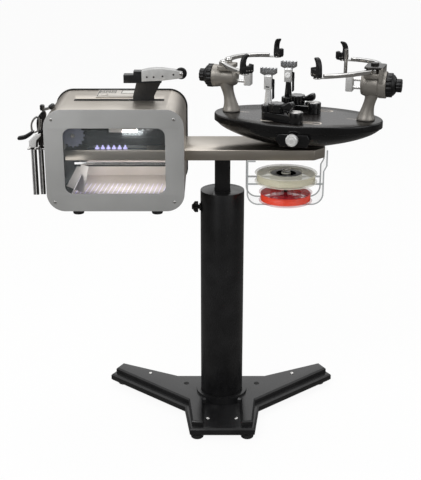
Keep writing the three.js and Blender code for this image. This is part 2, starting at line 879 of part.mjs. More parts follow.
function turntablePlate() {
  const bottom = tableTop - rimHeight;
  const slab = loft([
    ellipseRing(tableLong, tableWide, 0, bottom),
    ellipseRing(tableLong, tableWide, 0, tableTop - rimBevel),
    ellipseRing(tableLong - rimBevel, tableWide - rimBevel, 0, tableTop),
  ]);
  return piece("turntable_plate", cut(slab, groove(grooveV), groove(-grooveV)), blackPaint);
}

function turntableHull() {
  const top = tableTop - rimHeight - gap;
  const rings = hullShares.map(([height, long, wide]) => (
    ellipseRing(long * tableLong, wide * tableWide, 0, hullBottom + height * (top - hullBottom))
  ));
  const face = -tableWide + gap;
  const holder = block(
    brakeU - brakeBlockWidth / 2, brakeU + brakeBlockWidth / 2, face, face + brakeBlockDepth,
    brakeHeight - brakeBlockDrop, top,
  );
  const bore = upright(spindleRadius + 2 * gap, 0, 0, hullBottom - overrun, spindleTop + 2 * gap);
  const stemWay = rodY(screwRadius + gap, face - overrun, face + brakeStemDepth + gap, brakeU, brakeHeight, 16);
  return piece("turntable_hull", cut(join(loft(rings), holder), bore, stemWay), blackPaint);
}

function brakeKnob() {
  const back = -tableWide - brakeStandoff;
  const head = sidePrism(
    lobedShape(brakeKnobRadius, gap, knobLobes), back - brakeKnobLength, back, gap,
  );
  const stem = rodY(screwRadius, back - brakeKnobLength / 2, -tableWide + gap + brakeStemDepth, 0, 0, 16);
  return piece("brake_knob", moved(join(head, stem), brakeU, 0, brakeHeight), chrome);
}

// Towers
function tower(name, capped) {
  const barrelGirth = capped ? rightBarrelRadius : barrelRadius;
  const flangeGirth = capped ? rightBarrelFlange : barrelFlange;
  const flangeLength = capped ? rightFlangeLength : barrelFlangeLength;
  const stemBottom = tableTop + gap;
  const stemHeight = towerAxis - barrelGirth / 2 - stemBottom;
  const stem = loft(towerShares.map(([height, girth, lean]) => {
    const radius = waistRadius + (footFlare - waistRadius) * girth;
    return ellipseRing(radius, radius, towerU + lean * towerLean, stemBottom + height * stemHeight, 16);
  }));
  const flangeStart = barrelOuter - gap - flangeLength;
  const barrel = moved(alongX(turned([
    [0, barrelInner], [barrelGirth * 0.75, barrelInner], [barrelGirth, barrelInner + barrelGirth / 3],
    [barrelGirth, flangeStart - sheet], [flangeGirth, flangeStart], [flangeGirth, barrelOuter - gap],
    [0, barrelOuter - gap],
  ], 20)), 0, 0, towerAxis);
  const saddle = block(
    saddleInner, saddleInner + saddleLength, -saddleHalfWidth, saddleHalfWidth,
    towerAxis + barrelRadius - sheet, armBottom - gap,
  );
  const pins = [pinV, -pinV].map((v) => upright(pinRadius, pinU, v, armBottom - 2 * gap, armTop + sheet, 12));
  const rodWays = [rodSpread, -rodSpread].map((rise) => (
    rodX(rodRadius + gap, barrelInner - overrun, rodHoleEnd, 0, towerAxis + rise, 16)
  ));
  const stemWay = rodX(
    knobStemRadius + gap, barrelOuter - knobStemLength - 2 * gap, barrelOuter + overrun, 0, towerAxis, 16,
  );
  const capBottom = armTop + gap;
  const capOuter = capInner + capLength;
  const bossInner = capInner + capHeelLength;
  const cap = join(
    block(capInner, capOuter, -capHalfWidth, capHalfWidth, capBottom, capBottom + capThickness),
    block(
      bossInner, bossInner + capBossLength, -capBossHalfWidth, capBossHalfWidth,
      capBottom, capBottom + capThickness + capBossHeight,
    ),
    block(capOuter - capHeelLength, capOuter, -capHalfWidth, capHalfWidth, towerAxis, capBottom + capThickness),
    block(capInner, capOuter, -capWebHalfWidth, capWebHalfWidth, towerAxis, capBottom + capThickness),
  );
  const body = join(stem, barrel, saddle, ...pins);
  return piece(name, cut(capped ? join(body, cap) : body, ...rodWays, stemWay), castAluminium);
}

function support(name) {
  const pad = block(
    supportInner, supportInner + supportLength, -supportHalfWidth, supportHalfWidth,
    towerAxis - supportHalfHeight, towerAxis + supportHalfHeight,
  );
  const rods = [rodSpread, -rodSpread].map((rise) => (
    rodX(rodRadius, supportInner + supportLength / 2, rodEnd, 0, towerAxis + rise, 16)
  ));
  return piece(name, join(pad, ...rods), chrome);
}

function lengthKnob(name) {
  const half = lengthKnobLength * 0.6;
  const rim = prism(lobedShape(lengthKnobRadius, knobLobeDepth, knobLobes), barrelOuter, barrelOuter + half, knobLobeDepth);
  const dome = turned([
    [0, barrelOuter + half / 2], [lengthKnobRadius - 2 * knobLobeDepth, barrelOuter + half / 2],
    [lengthKnobRadius - 2 * knobLobeDepth, barrelOuter + half],
    [lengthKnobRadius * 0.8, barrelOuter + lengthKnobLength * 0.85],
    [armKnobRadius + sheet, barrelOuter + lengthKnobLength], [0, barrelOuter + lengthKnobLength],
  ]);
  const stem = rod(knobStemRadius, lengthKnobLength / 2, 16);
  const outer = barrelOuter + lengthKnobLength;
  const well = upright(smallStemRadius + gap, 0, 0, outer - smallStemLength - gap, outer + overrun, 16);
  const knob = cut(join(rim, dome, moved(stem, 0, 0, barrelOuter - knobStemLength)), well);
  return piece(name, moved(alongX(knob), 0, 0, towerAxis), blackPlastic);
}

function armKnob(name) {
  const inner = barrelOuter + lengthKnobLength + gap;
  const rim = prism(
    lobedShape(armKnobRadius, knobLobeDepth, smallKnobLobes), inner, inner + armKnobLength, knobLobeDepth,
  );
  const stem = upright(smallStemRadius, 0, 0, inner - smallStemLength, inner + armKnobLength / 2, 16);
  return piece(name, moved(alongX(join(rim, stem)), 0, 0, towerAxis), blackPlastic);
}

// A side arm that runs from its pin on the tower, round the head of the racket, to its hook
function sideArm(name, side, hookU, bendU, bendV) {
  const line = new THREE.QuadraticBezierCurve(
    new THREE.Vector2(pinU, side * pinV),
    new THREE.Vector2(bendU, side * bendV),
    new THREE.Vector2(hookU, side * hookV),
  );
  const steps = 8;
  const edge = (offset) => Array.from({ length: steps + 1 }, (_, step) => {
    const at = line.getPoint(step / steps);
    const along = line.getTangent(step / steps);
    return [at.x - along.y * offset, at.y + along.x * offset];
  });
  const bar = prism(outline([...edge(-armWidth / 2), ...edge(armWidth / 2).reverse()]), armBottom, armTop);
  const eye = upright(eyeRadius, pinU, side * pinV, armBottom, armTop, 16);
  const seat = upright(eyeRadius, hookU, side * hookV, armBottom, armTop, 16);
  const stud = upright(hookStudRadius, hookU, side * hookV, armBottom, armTop + hookStudHeight, 12);
  const way = upright(pinRadius + gap, pinU, side * pinV, armBottom - overrun, armTop + overrun, 12);
  const room = upright(hookRoom, hookU, side * hookV, armBottom + armTongue, armTop + overrun, 24);
  return piece(name, join(cut(join(bar, eye, seat), way, room), stud), chrome);
}

// A hook: a block under the racket's frame and a finger that curls over it from outside
function hook(name, side, hookU) {
  const bottom = armBottom + armTongue + gap;
  const points = hookShares.map(([reach, height]) => [reach * hookReach, bottom + height * hookHeight]);
  const claw = sidePrism(outline(points), -hookWidth / 2, hookWidth / 2);
  const inward = Math.PI + side * hookTurn;
  const placed = moved(spun(claw, inward), hookU, side * hookV, 0);
  const way = upright(
    hookStudRadius + gap, hookU, side * hookV, bottom - overrun, armTop + hookStudHeight + gap, 12,
  );
  return piece(name, cut(placed, way), blackPlastic);
}

function towerSet(side, turn) {
  const group = new THREE.Group();
  const nearHookU = turn ? leftNearHookU : rightNearHookU;
  group.rotation.z = turn;
  group.add(
    tower(`${side}_tower`, turn === 0),
    support(`${side}_support`),
    lengthKnob(`${side}_length_knob`),
    armKnob(`${side}_arm_knob`),
    sideArm(`${side}_near_arm`, turn ? 1 : -1, nearHookU, nearBendU, nearBendV),
    sideArm(`${side}_far_arm`, turn ? -1 : 1, farHookU, farBendU, farBendV),
    hook(`${side}_near_hook`, turn ? 1 : -1, nearHookU),
    hook(`${side}_far_hook`, turn ? -1 : 1, farHookU),
  );
  return group;
}

// String clamps
function clampBase(place) {
  const reach = Math.hypot(place.swingU - place.postU, place.swingV - place.postV);
  const lean = (swingRadius - clampHubRadius) / reach;
  const side = Math.acos(lean);
  const shape = new THREE.Shape();
  shape.absarc(0, 0, clampHubRadius, Math.PI - side, Math.PI + side);
  shape.absarc(reach, 0, swingRadius, Math.PI + side, Math.PI * 3 - side);
  const turn = Math.atan2(place.swingV - place.postV, place.swingU - place.postU);
  const arm = spun(prism(shape, clampBottom, clampBaseTop), turn);
  const pivot = spun(upright(swingRadius, reach, 0, clampBottom, clampBottom + swingHeight, 24), turn);
  const well = upright(postRadius + gap, 0, 0, clampBottom + clampBaseFloor, clampBaseTop + overrun);
  return piece(`${place.name}_base`, cut(join(arm, pivot), well), blackPlastic);
}

// The outline of one jaw: a narrow root that spreads to a row of teeth
function jawOutline(bottom) {
  const half = jawWidth / 2;
  const toothRoot = jawTop - jawToothDepth;
  const pitch = jawWidth / (jawTeeth - 0.4);
  const tooth = pitch * 0.6;
  const root = jawRootWidth / 2;
  const points = [[-root, bottom], [root, bottom], [root, jawRootTop], [half, jawShoulder]];
  for (let index = jawTeeth - 1; index >= 0; index -= 1) {
    const left = -half + index * pitch;
    points.push([left + tooth, jawTop], [left, jawTop]);
    if (index > 0) points.push([left, toothRoot], [left - pitch + tooth, toothRoot]);
  }
  points.push([-half, jawShoulder], [-root, jawRootTop]);
  return outline(points);
}

const hingeV = (jawGap + jawThickness) / 2;

function clampPost(place) {
  const bottom = clampBottom + clampBaseFloor + gap;
  const coneBottom = clampBaseTop + lockHubHeight + 3 * gap;
  const post = turned([
    [0, bottom], [postRadius, bottom], [postRadius, coneBottom], [coneFootRadius, coneBottom],
    [coneHeadRadius, postShoulder], [0, postShoulder],
  ], 20);
  const jaw = sidePrism(jawOutline(jawTop - jawHeight), -jawGap / 2 - jawThickness, -jawGap / 2);
  const lug = block(
    -lugHalfWidth, lugHalfWidth, -jawGap, hingeV, leverJoin - lugHalfHeight, leverJoin + lugHalfHeight,
  );
  const pin = rodX(hingePinRadius, -jawRootWidth / 2, hingePinEnd, hingeV, leverJoin, 8);
  return piece(`${place.name}_post`, join(post, jaw, lug, pin), chrome);
}

function clampLever(place) {
  const jaw = sidePrism(jawOutline(leverJoin), jawGap / 2, jawGap / 2 + jawThickness);
  const handle = block(
    leverInner, leverInner + leverWidth, jawGap / 2, jawGap / 2 + jawThickness, leverBottom, leverJoin + jawToothDepth,
  );
  const web = block(
    0, leverInner + leverWidth, jawGap / 2, jawGap / 2 + jawThickness, leverJoin, leverJoin + jawToothDepth,
  );
  const knuckle = rodX(
    hingeV + jawGap / 2 - gap, -jawRootWidth / 2, leverInner + leverWidth, hingeV, leverJoin, 12,
  );
  const lugWay = block(
    -lugHalfWidth - gap, lugHalfWidth + gap, -jawThickness, 2 * jawThickness, leverJoin - lugRoom, leverJoin + lugRoom,
  );
  const pinWay = rodX(
    hingePinRadius + gap, -jawRootWidth / 2 - overrun, hingePinEnd + overrun, hingeV, leverJoin, 8,
  );
  const whole = cut(join(jaw, web, handle, knuckle), lugWay, pinWay);
  return piece(`${place.name}_lever`, whole, blackPlastic);
}

// The lever that locks the clamp's base to the turntable
function clampLock(place) {
  const bottom = clampBaseTop + gap;
  const hub = upright(lockHubRadius, 0, 0, bottom, bottom + lockHubHeight, 24);
  const low = bottom + lockHandleLift;
  const handle = sidePrism(outline([
    [0, low], [lockHandleLength, low], [lockHandleLength, bottom + lockHubHeight + lockHandleRise / 2],
    [lockHandleLength * 0.85, bottom + lockHubHeight + lockHandleRise],
    [lockHandleLength * 0.5, bottom + lockHubHeight - sheet], [0, bottom + lockHubHeight],
  ]), -lockHandleWidth / 2, lockHandleWidth / 2);
  const way = upright(postRadius + gap, 0, 0, bottom - overrun, bottom + lockHubHeight + overrun, 20);
  const turn = Math.atan2(place.swingV - place.postV, place.swingU - place.postU);
  return piece(`${place.name}_lock`, spun(cut(join(hub, handle), way), turn), blackPlastic);
}

function clampSet(place) {
  const group = new THREE.Group();
  group.position.set(place.postU, place.postV, 0);
  group.add(clampBase(place), clampPost(place), clampLever(place), clampLock(place));
  return group;
}

// Reels
function reelTray() {
  const lip = railRight + gap + trayWall;
  const right = trayLeft + reelTrayWidth;
  const height = railTop - trayBottom;
  const middle = (trayLeft + right) / 2;
  const u = (inset) => roundedRectangle(
    right - trayLeft - 2 * inset, height - 2 * inset, trayRadius - inset, middle, trayBottom + height / 2,
  );
  const upper = (inset) => outline([
    [trayLeft + inset, trayBottom + 2 * trayRadius], [right - inset, trayBottom + 2 * trayRadius],
    [right - inset, railBottom - 2 * trayJoggle], [lip - inset, railBottom - trayJoggle],
    [lip - inset, railTop + inset], [trayLeft + inset, railTop + inset],
  ]);
  const outer = join(sidePrism(u(0), reelTrayFront, reelTrayBack), sidePrism(upper(0), reelTrayFront, reelTrayBack));
  const hollow = join(
    sidePrism(u(trayWall), reelTrayFront - overrun, reelTrayBack + overrun),
    sidePrism(upper(trayWall), reelTrayFront - overrun, reelTrayBack + overrun),
  );
  const shelf = block(
    trayLeft + trayWall / 2, right - trayWall / 2, reelTrayFront, reelTrayBack, shelfBottom, shelfBottom + shelfThickness,
  );
  const tab = block(
    trayLeft, trayLeft + trayTab, reelTrayFront, reelTrayBack, railBottom - gap - trayWall, railBottom + overrun,
  );
  const railRoom = block(
    trayLeft - overrun, railRight + gap, reelTrayFront - overrun, reelTrayBack + overrun, railBottom - gap, railTop + overrun,
  );
  const spindleWay = upright(
    reelSpindleRadius + gap, reelX, reelY, shelfBottom - overrun, shelfBottom + shelfThickness + overrun,
  );
  return piece("reel_tray", cut(join(cut(outer, hollow), shelf, tab), railRoom, spindleWay), clearSheet);
}

function reelSpindle() {
  const bottom = trayBottom + trayWall + gap;
  const foot = upright(reelSpindleFoot, reelX, reelY, bottom, bottom + sheet, 20);
  const shaft = upright(reelSpindleRadius, reelX, reelY, bottom, reelSpindleTop, 20);
  return piece("reel_spindle", join(foot, shaft), blackPlastic);
}

// A reel: two flanges, a filled drum between them, and an open hub on a bottom web
function reel(name, radius, wound, bottom, material) {
  const top = bottom + reelWidth;
  const drum = (wound - 2 * stringRadius) * Math.cos(Math.PI / loopSteps) - gap;
  const hubInner = reelHubRadius - reelHubWall;
  const profile = [
    [reelBore, bottom], [radius, bottom], [radius, bottom + reelFlange], [drum, bottom + reelFlange],
    [drum, top - reelFlange], [radius, top - reelFlange], [radius, top], [hubInner, top],
    [hubInner, bottom + reelFlange], [2 * reelBore, bottom + reelFlange], [2 * reelBore, top],
    [reelBore, top], [reelBore, bottom],
  ];
  return piece(name, moved(turned(profile, 24), reelX, reelY, 0), material);
}

// The outer layer of string: one unbroken tube that climbs the drum from flange to flange
function winding(name, wound, bottom, material) {
  const low = bottom + reelFlange + gap + stringRadius;
  const high = bottom + reelWidth - reelFlange - gap - stringRadius;
  const centre = wound - stringRadius;
  const steps = stringLoops * loopSteps;
  const rings = Array.from({ length: steps + 1 }, (_, step) => {
    const angle = (step / loopSteps) * Math.PI * 2;
    const height = low + (high - low) * (step / steps);
    return Array.from({ length: stringSides }, (__, side) => {
      const around = (side / stringSides) * Math.PI * 2;
      const reach = centre + stringRadius * Math.cos(around);
      return [reach * Math.cos(angle), reach * Math.sin(angle), height - stringRadius * Math.sin(around)];
    });
  });
  const pitch = (high - low) / stringLoops;
  console.log(`${name}: ${stringLoops} loops, least gap to itself ${(pitch - 2 * stringRadius).toFixed(2)} mm`);
  return piece(name, moved(loft(rings), reelX, reelY, 0), material);
}

// Starting clamps beside the head
function toolHolder() {
  const right = headLeft - gap;
  const top = holderHeight + holderThickness;
  const plate = block(holderLeft, right, holderFront, holderBack, holderHeight, top);
  const lip = block(right - holderThickness / 2, right, holderFront, holderBack, holderHeight, top + holderLip);
  const mouth = (x, y) => join(
    upright(toolNeckRadius + 2 * gap, x, y, holderHeight - overrun, top + overrun, 20),
    block(
      x - toolNeckRadius - 2 * gap, x + toolNeckRadius + 2 * gap, holderFront - overrun, y,
      holderHeight - overrun, top + overrun,
    ),
  );
  return piece(
    "tool_holder", cut(join(plate, lip), mouth(leftToolX, leftToolY), mouth(rightToolX, rightToolY)), chrome,
  );
}

function toolShank() {
  const top = holderHeight - gap;
  const collar = holderHeight + holderThickness + gap;
  return turned([
    [0, toolBottom], [toolRadius * 0.8, toolBottom], [toolRadius, top], [toolNeckRadius, top],
    [toolNeckRadius, collar], [toolHeadRadius, collar], [toolHeadRadius, collar + toolCollarHeight],
    [0, collar + toolCollarHeight],
  ], 12);
}

function leftTool() {
  const collar = holderHeight + holderThickness + gap + toolCollarHeight;
  const stem = upright(toolHeadRadius, 0, 0, collar - overrun, leftToolTop, 16);
  const base = collar + leverRise;
  const lever = sidePrism(outline([
    [-toolHeadRadius / 2, base + leverReach / 2], [-leverReach * 0.5, base + leverReach * 0.32],
    [-leverReach, base + leverReach * 0.2], [-leverReach, base + leverReach * 0.2 + leverThickness],
    [-leverReach * 0.5, base + leverReach * 0.32 + leverThickness],
    [-toolHeadRadius / 2, base + leverReach / 2 + leverThickness],
  ]), -toolHeadRadius / 2, toolHeadRadius / 2);
  return piece("left_starting_clamp", moved(join(toolShank(), stem, lever), leftToolX, leftToolY, 0), blackPlastic);
}

function rightTool() {
  const collar = holderHeight + holderThickness + gap;
  const points = rightToolShares.map(([x, z]) => (
    new THREE.Vector3(x * rightToolReach, 0, collar + z * rightToolRise)
  ));
  const curve = new THREE.CatmullRomCurve3(points, false, "centripetal");
  const section = new THREE.Shape().absarc(0, 0, toolHeadRadius, 0, Math.PI * 2);
  const neck = solidOf(new THREE.ExtrudeGeometry(section, {
    steps: 6, curveSegments: 4, extrudePath: curve, bevelEnabled: false,
  }));
  const tip = points.at(-1);
  const knob = solidOf(new THREE.SphereGeometry(toolKnobRadius, 12, 7).translate(tip.x, 0, tip.z));
  return piece("right_starting_clamp", moved(join(toolShank(), neck, knob), rightToolX, rightToolY, 0), chrome);
}

// The whole machine
const machine = new THREE.Group();
machine.position.z = -castingBottom;
machine.add(
  baseCasting(),
  foot("front_left_foot", -frontFootX, -baseFront + frontFootInset),
  foot("front_right_foot", frontFootX, -baseFront + frontFootInset),
  foot("left_arm_foot", -armFootX, armFootY),
  foot("right_arm_foot", armFootX, armFootY),
  columnTube(),
  lockKnob(),
  mastTube(),
  railBeam(),
  headCasing(),
  frontBezel(),
  windowPane(),
  rearPanel(),
  controlPanel(),
  startButton(),
  interiorTray(),
  lightSign(),
  driveMotor(),
  driveGear(),
  driveBelt(),
  guideRail(),
  pullerBracket(),
  gripperBody(),
  gripperWheel(),
  reelTray(),
  reelSpindle(),
  toolHolder(),
  leftTool(),
  rightTool(),
);

const upperReelBottom = shelfBottom + shelfThickness + gap;
const lowerReelBottom = trayBottom + trayWall + sheet + 2 * gap;
machine.add(
  reel("upper_reel", upperReelRadius, upperWoundRadius, upperReelBottom, clearSpool),
  winding("upper_winding", upperWoundRadius, upperReelBottom, creamString),
  reel("lower_reel", lowerReelRadius, lowerWoundRadius, lowerReelBottom, redHub),
  winding("lower_winding", lowerWoundRadius, lowerReelBottom, redString),
);

const turntable = new THREE.Group();
turntable.position.x = tableX;
turntable.rotation.z = tableTurn;
turntable.add(
  turntablePlate(),
  turntableHull(),
  brakeKnob(),
  towerSet("right", 0),
  towerSet("left", Math.PI),
  ...clampPlaces.map(clampSet),
);
machine.add(turntable);

export default machine;
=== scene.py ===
# %% [markdown]
# # A racket stringing machine in Blender
#
# The machine stands on a two-legged cast base. A round column carries a square mast, and the mast carries a
# steel rail with a tension head at one end and a turntable at the other. Its moving solids come from a
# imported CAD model. This notebook gives every one of them its real surface: finer curves, rounded edges,
# small fittings and a finish.

import json
import math

import bpy
from mathutils import Matrix, Vector

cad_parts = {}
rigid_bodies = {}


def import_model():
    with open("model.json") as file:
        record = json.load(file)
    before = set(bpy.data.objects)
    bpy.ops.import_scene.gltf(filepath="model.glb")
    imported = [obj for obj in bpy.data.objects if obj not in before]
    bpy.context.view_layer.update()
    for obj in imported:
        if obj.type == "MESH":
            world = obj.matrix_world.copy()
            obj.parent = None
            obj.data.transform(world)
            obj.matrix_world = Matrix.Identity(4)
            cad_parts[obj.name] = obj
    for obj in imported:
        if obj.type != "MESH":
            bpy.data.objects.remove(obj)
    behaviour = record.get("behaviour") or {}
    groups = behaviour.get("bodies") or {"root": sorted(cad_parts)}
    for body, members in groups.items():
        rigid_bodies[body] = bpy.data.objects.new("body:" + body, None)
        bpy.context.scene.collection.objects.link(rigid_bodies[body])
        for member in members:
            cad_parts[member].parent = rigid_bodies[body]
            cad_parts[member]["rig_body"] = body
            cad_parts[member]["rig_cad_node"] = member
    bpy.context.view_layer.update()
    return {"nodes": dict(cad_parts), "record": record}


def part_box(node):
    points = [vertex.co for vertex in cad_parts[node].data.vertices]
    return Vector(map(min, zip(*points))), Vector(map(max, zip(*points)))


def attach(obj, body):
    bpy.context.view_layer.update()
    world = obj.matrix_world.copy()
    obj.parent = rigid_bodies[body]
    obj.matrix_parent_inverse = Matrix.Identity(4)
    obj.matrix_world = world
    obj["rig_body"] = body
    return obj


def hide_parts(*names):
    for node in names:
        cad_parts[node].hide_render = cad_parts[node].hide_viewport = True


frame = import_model()
record = frame["record"]
body_of_node = {node: body for body, nodes in record["behaviour"]["bodies"].items() for node in nodes}

# %% [markdown]
# ## The camera
#
# The photograph was taken from 1.38 m above the floor and 2.5 m in front of the column, looking down by
# 19.6 degrees. A 75 mm lens gives the same perspective: the sides of the column stay almost parallel, and
# the rail shows its top.

# %% The camera
floor_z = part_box("front_left_foot")[0].z
eye_left, eye_front, eye_height, look_down = 0.031, 2.496, 1.38, 19.6
camera_data = bpy.data.cameras.new("photograph_camera")
camera_data.lens = 75
camera_data.sensor_width = 36
camera = bpy.data.objects.new("photograph_camera", camera_data)
camera.location = (-eye_left, -eye_front, floor_z + eye_height)
camera.rotation_euler = (math.radians(90 - look_down), 0, 0)
bpy.context.scene.collection.objects.link(camera)
bpy.context.scene.camera = camera

# %% [markdown]
# ## Places
#
# Heights on a machine that stands on the floor are easiest to read from the floor, and sizes in
# millimetres. Small functions turn such a place into the frame's metres. The turntable is turned by 17.4
# degrees, so what stands on it is made in the turntable's own directions and placed with one matrix at the
# end.

# %% Places and directions
def mm(*values):
    return tuple(value / 1000 for value in values)


def at(x, y, z):
    return Vector((x / 1000, y / 1000, z / 1000 + floor_z))


def shift(x=0, y=0, z=0, turn=Matrix.Identity(4)):
    """A move by millimetres, after an optional turn."""
    return Matrix.Translation(mm(x, y, z)) @ turn


to_front = Matrix.Rotation(math.radians(90), 4, "X")
to_right = Matrix.Rotation(math.radians(90), 4, "Y")
world = Matrix.Translation((0, 0, floor_z))
table_x, table_turn = 189, math.radians(-17.4)
table = world @ shift(table_x, turn=Matrix.Rotation(table_turn, 4, "Z"))
sides = {"right": table, "left": table @ Matrix.Rotation(math.pi, 4, "Z")}

# %% [markdown]
# ## Materials
#
# Each finish is one Principled shader. Its colour and metal are typed on the shader's own sockets, and a
# small pattern gives what a plain number can't: the grain of brushed steel, the orange peel of powder coat,
# the fine pits of moulded plastic. A pattern's scale comes from a real size: a feature of so many
# millimetres repeats 1000 / size times in a metre. A slow mottle varies the colour, as handling, dust and
# uneven polish leave it.

# %% Colour and nodes
def linear(colour):
    channels = []
    for shift_bits in (16, 8, 0):
        value = ((colour >> shift_bits) & 255) / 255
        channels.append(value / 12.92 if value <= 0.04045 else ((value + 0.055) / 1.055) ** 2.4)
    return (*channels, 1.0)


def add_node(owner, kind, inputs=None, **settings):
    """A node with its settings; each input takes a number, a colour or another node's output."""
    node = owner.node_tree.nodes.new(kind)
    for key, value in settings.items():
        setattr(node, key, value)
    for socket, value in (inputs or {}).items():
        if isinstance(value, bpy.types.NodeSocket):
            owner.node_tree.links.new(value, node.inputs[socket])
        else:
            node.inputs[socket].default_value = value
    return node


def surface(name, colour, metallic, roughness, more=None):
    material = bpy.data.materials.new(name)
    material.use_nodes = True
    shader = material.node_tree.nodes["Principled BSDF"]
    shader.inputs["Base Color"].default_value = linear(colour)
    shader.inputs["Metallic"].default_value = metallic
    shader.inputs["Roughness"].default_value = roughness
    for socket, value in (more or {}).items():
        shader.inputs[socket].default_value = value
    return material


# %% Patterns
def grain(material, size_mm, stretch, roughness, depth_mm, strength):
    """A noise of the given feature size: it varies the roughness and raises a fine relief."""
    tree = material.node_tree
    shader = tree.nodes["Principled BSDF"]
    place = add_node(material, "ShaderNodeTexCoord")
    mapped = add_node(material, "ShaderNodeMapping", {
        "Vector": place.outputs["Object"], "Scale": tuple(1 / value for value in stretch),
    })
    noise = add_node(material, "ShaderNodeTexNoise", {
        "Vector": mapped.outputs["Vector"], "Scale": 1000 / size_mm, "Detail": 3.0, "Roughness": 0.6,
    })
    spread = add_node(material, "ShaderNodeMapRange", {
        "Value": noise.outputs["Fac"], "From Min": 0.3, "From Max": 0.7,
        "To Min": roughness[0], "To Max": roughness[1],
    })
    relief = add_node(material, "ShaderNodeBump", {
        "Height": noise.outputs["Fac"], "Distance": depth_mm / 1000, "Strength": strength,
    })
    tree.links.new(spread.outputs["Result"], shader.inputs["Roughness"])
    tree.links.new(relief.outputs["Normal"], shader.inputs["Normal"])


def mottle(material, size_mm, dark, light):
    """Slow spots between two colours."""
    tree = material.node_tree
    place = add_node(material, "ShaderNodeTexCoord")
    noise = add_node(material, "ShaderNodeTexNoise", {
        "Vector": place.outputs["Object"], "Scale": 1000 / size_mm, "Detail": 2.0, "Roughness": 0.5,
    })
    ramp = add_node(material, "ShaderNodeValToRGB", {"Fac": noise.outputs["Fac"]})
    for element, position, colour in zip(ramp.color_ramp.elements, (0.35, 0.65), (dark, light)):
        element.position = position
        element.color = linear(colour)
    tree.links.new(ramp.outputs["Color"], tree.nodes["Principled BSDF"].inputs["Base Color"])


def finish(name, colour, metallic, size_mm, roughness, relief, spots=None, more=None, stretch=(1, 1, 1)):
    """roughness: lowest and highest. relief: depth in mm and strength. spots: size in mm, dark, light."""
    material = surface(name, colour, metallic, sum(roughness) / 2, more)
    grain(material, size_mm, stretch, roughness, *relief)
    if spots:
        mottle(material, *spots)
    return material


def glowing(name, colour, roughness, glow, strength, spots):
    material = surface(name, colour, 0.0, roughness, {
        "Emission Color": linear(glow), "Emission Strength": strength,
    })
    mottle(material, *spots)
    return material


# %% [markdown]
# ### Paints and coats
#
# The stand is cast iron and steel tube under black powder coat. The turntable has a smoother, glossier
# black coat with a hard clear layer. The bezel is grey sprayed paint, and the towers are cast aluminium
# with a fine silver-grey coat.

# %% Paints and coats
# Satin black with an orange peel of about a millimetre, which breaks up every reflection.
powder_coat = finish("satin_black_powder_coat", 0x141415, 0.0, 1.4, (0.24, 0.36), (0.05, 0.3),
                     (60, 0x111112, 0x1A1A1B), {"Specular IOR Level": 0.36})
# Deep black whose clear layer keeps the softboxes sharp.
gloss_coat = finish("gloss_black_coat", 0x0A0A0B, 0.0, 2.0, (0.2, 0.3), (0.02, 0.2), (90, 0x080809, 0x0E0E0F),
                    {"Specular IOR Level": 0.26, "Coat Weight": 0.2, "Coat Roughness": 0.08})
# Warm satin black with a metallic sheen that brightens towards the far edge.
table_coat = finish("satin_black_table_coat", 0x1B1917, 0.3, 1.2, (0.22, 0.34), (0.03, 0.25),
                    (80, 0x171513, 0x211E1C))
# Even neutral grey, matt enough to show no lamp.
grey_paint = finish("grey_sprayed_paint", 0x848483, 0.0, 1.1, (0.44, 0.56), (0.03, 0.3),
                    (120, 0x80807F, 0x888887))
# Warm silver-grey that shows the sand of the mould a little.
silver_coat = finish("silver_coat_on_cast_aluminium", 0x8B8781, 0.62, 0.9, (0.36, 0.5), (0.06, 0.4),
                     (25, 0x86827C, 0x918D87))
# Lighter, finer silver for the gripper.
gripper_coat = finish("fine_silver_coat", 0xA9A9A8, 0.3, 0.8, (0.34, 0.46), (0.03, 0.3),
                      (18, 0xA3A3A2, 0xB0B0AF))
# Pale lining that spreads the light inside the head.
pale_coat = finish("pale_sprayed_coat", 0xD8D2CC, 0.0, 1.0, (0.45, 0.58), (0.02, 0.2),
                   (70, 0xD3CDC8, 0xDDD7D2))
# The same lining with a violet shade painted in, for the side walls of the tray.
violet_shade = finish("pale_coat_in_violet_shade", 0x77738C, 0.0, 1.0, (0.45, 0.58), (0.02, 0.2),
                      (30, 0x6C6884, 0x848098))

# %% [markdown]
# ### Bare metals
#
# The rail and the wrap round the head are stainless steel sheet, brushed along the machine, so the noise is
# stretched sixty times along X. Polished chrome gets only a trace of relief.

# %% Bare metals
# Long soft streaks of light along the sheet.
brushed_steel = finish("brushed_stainless_steel", 0xC3BBB0, 1.0, 0.8, (0.28, 0.42), (0.02, 0.25),
                       (140, 0xBBB3A8, 0xC9C2B8), stretch=(60, 1, 1))
# Hard mirror: bright and black side by side.
chrome = finish("polished_chrome", 0xDDDCDA, 1.0, 6.0, (0.06, 0.14), (0.02, 0.1))
# Softer mirror for small caps and rivets.
satin_chrome = finish("satin_chrome", 0xC9C7C4, 1.0, 1.2, (0.18, 0.3), (0.02, 0.2))
# White metal with a fine turned grain.
turned_aluminium = finish("turned_aluminium", 0xE2E2E2, 1.0, 0.6, (0.2, 0.32), (0.02, 0.2))
# Greyer chrome, scuffed along its length by string.
dark_chrome = finish("worn_dark_chrome", 0xC2C3C5, 1.0, 1.0, (0.14, 0.3), (0.03, 0.3), stretch=(1, 1, 40))
# Nearly black plating with a metal's highlight.
dark_plate = finish("dark_plated_steel", 0x3A3836, 0.85, 1.0, (0.24, 0.36), (0.03, 0.3))
# Flat cool grey for the inside of the head: bare zinc on the rear panel, and painted shade on the wrap's inner
# side.
zinc_with_painted_shade = finish("zinc_sheet_and_painted_shade", 0x8A8C8D, 0.3, 4.0, (0.5, 0.62), (0.03, 0.3))
# Almost white metal that stays bright from every side.
bright_nickel = finish("bright_matt_nickel", 0xF0F0EF, 0.7, 0.9, (0.24, 0.38), (0.02, 0.2))
# Slate grey with a cold tint.
gear_steel = finish("dark_machined_steel", 0x7C7F90, 0.35, 1.0, (0.32, 0.46), (0.03, 0.3))

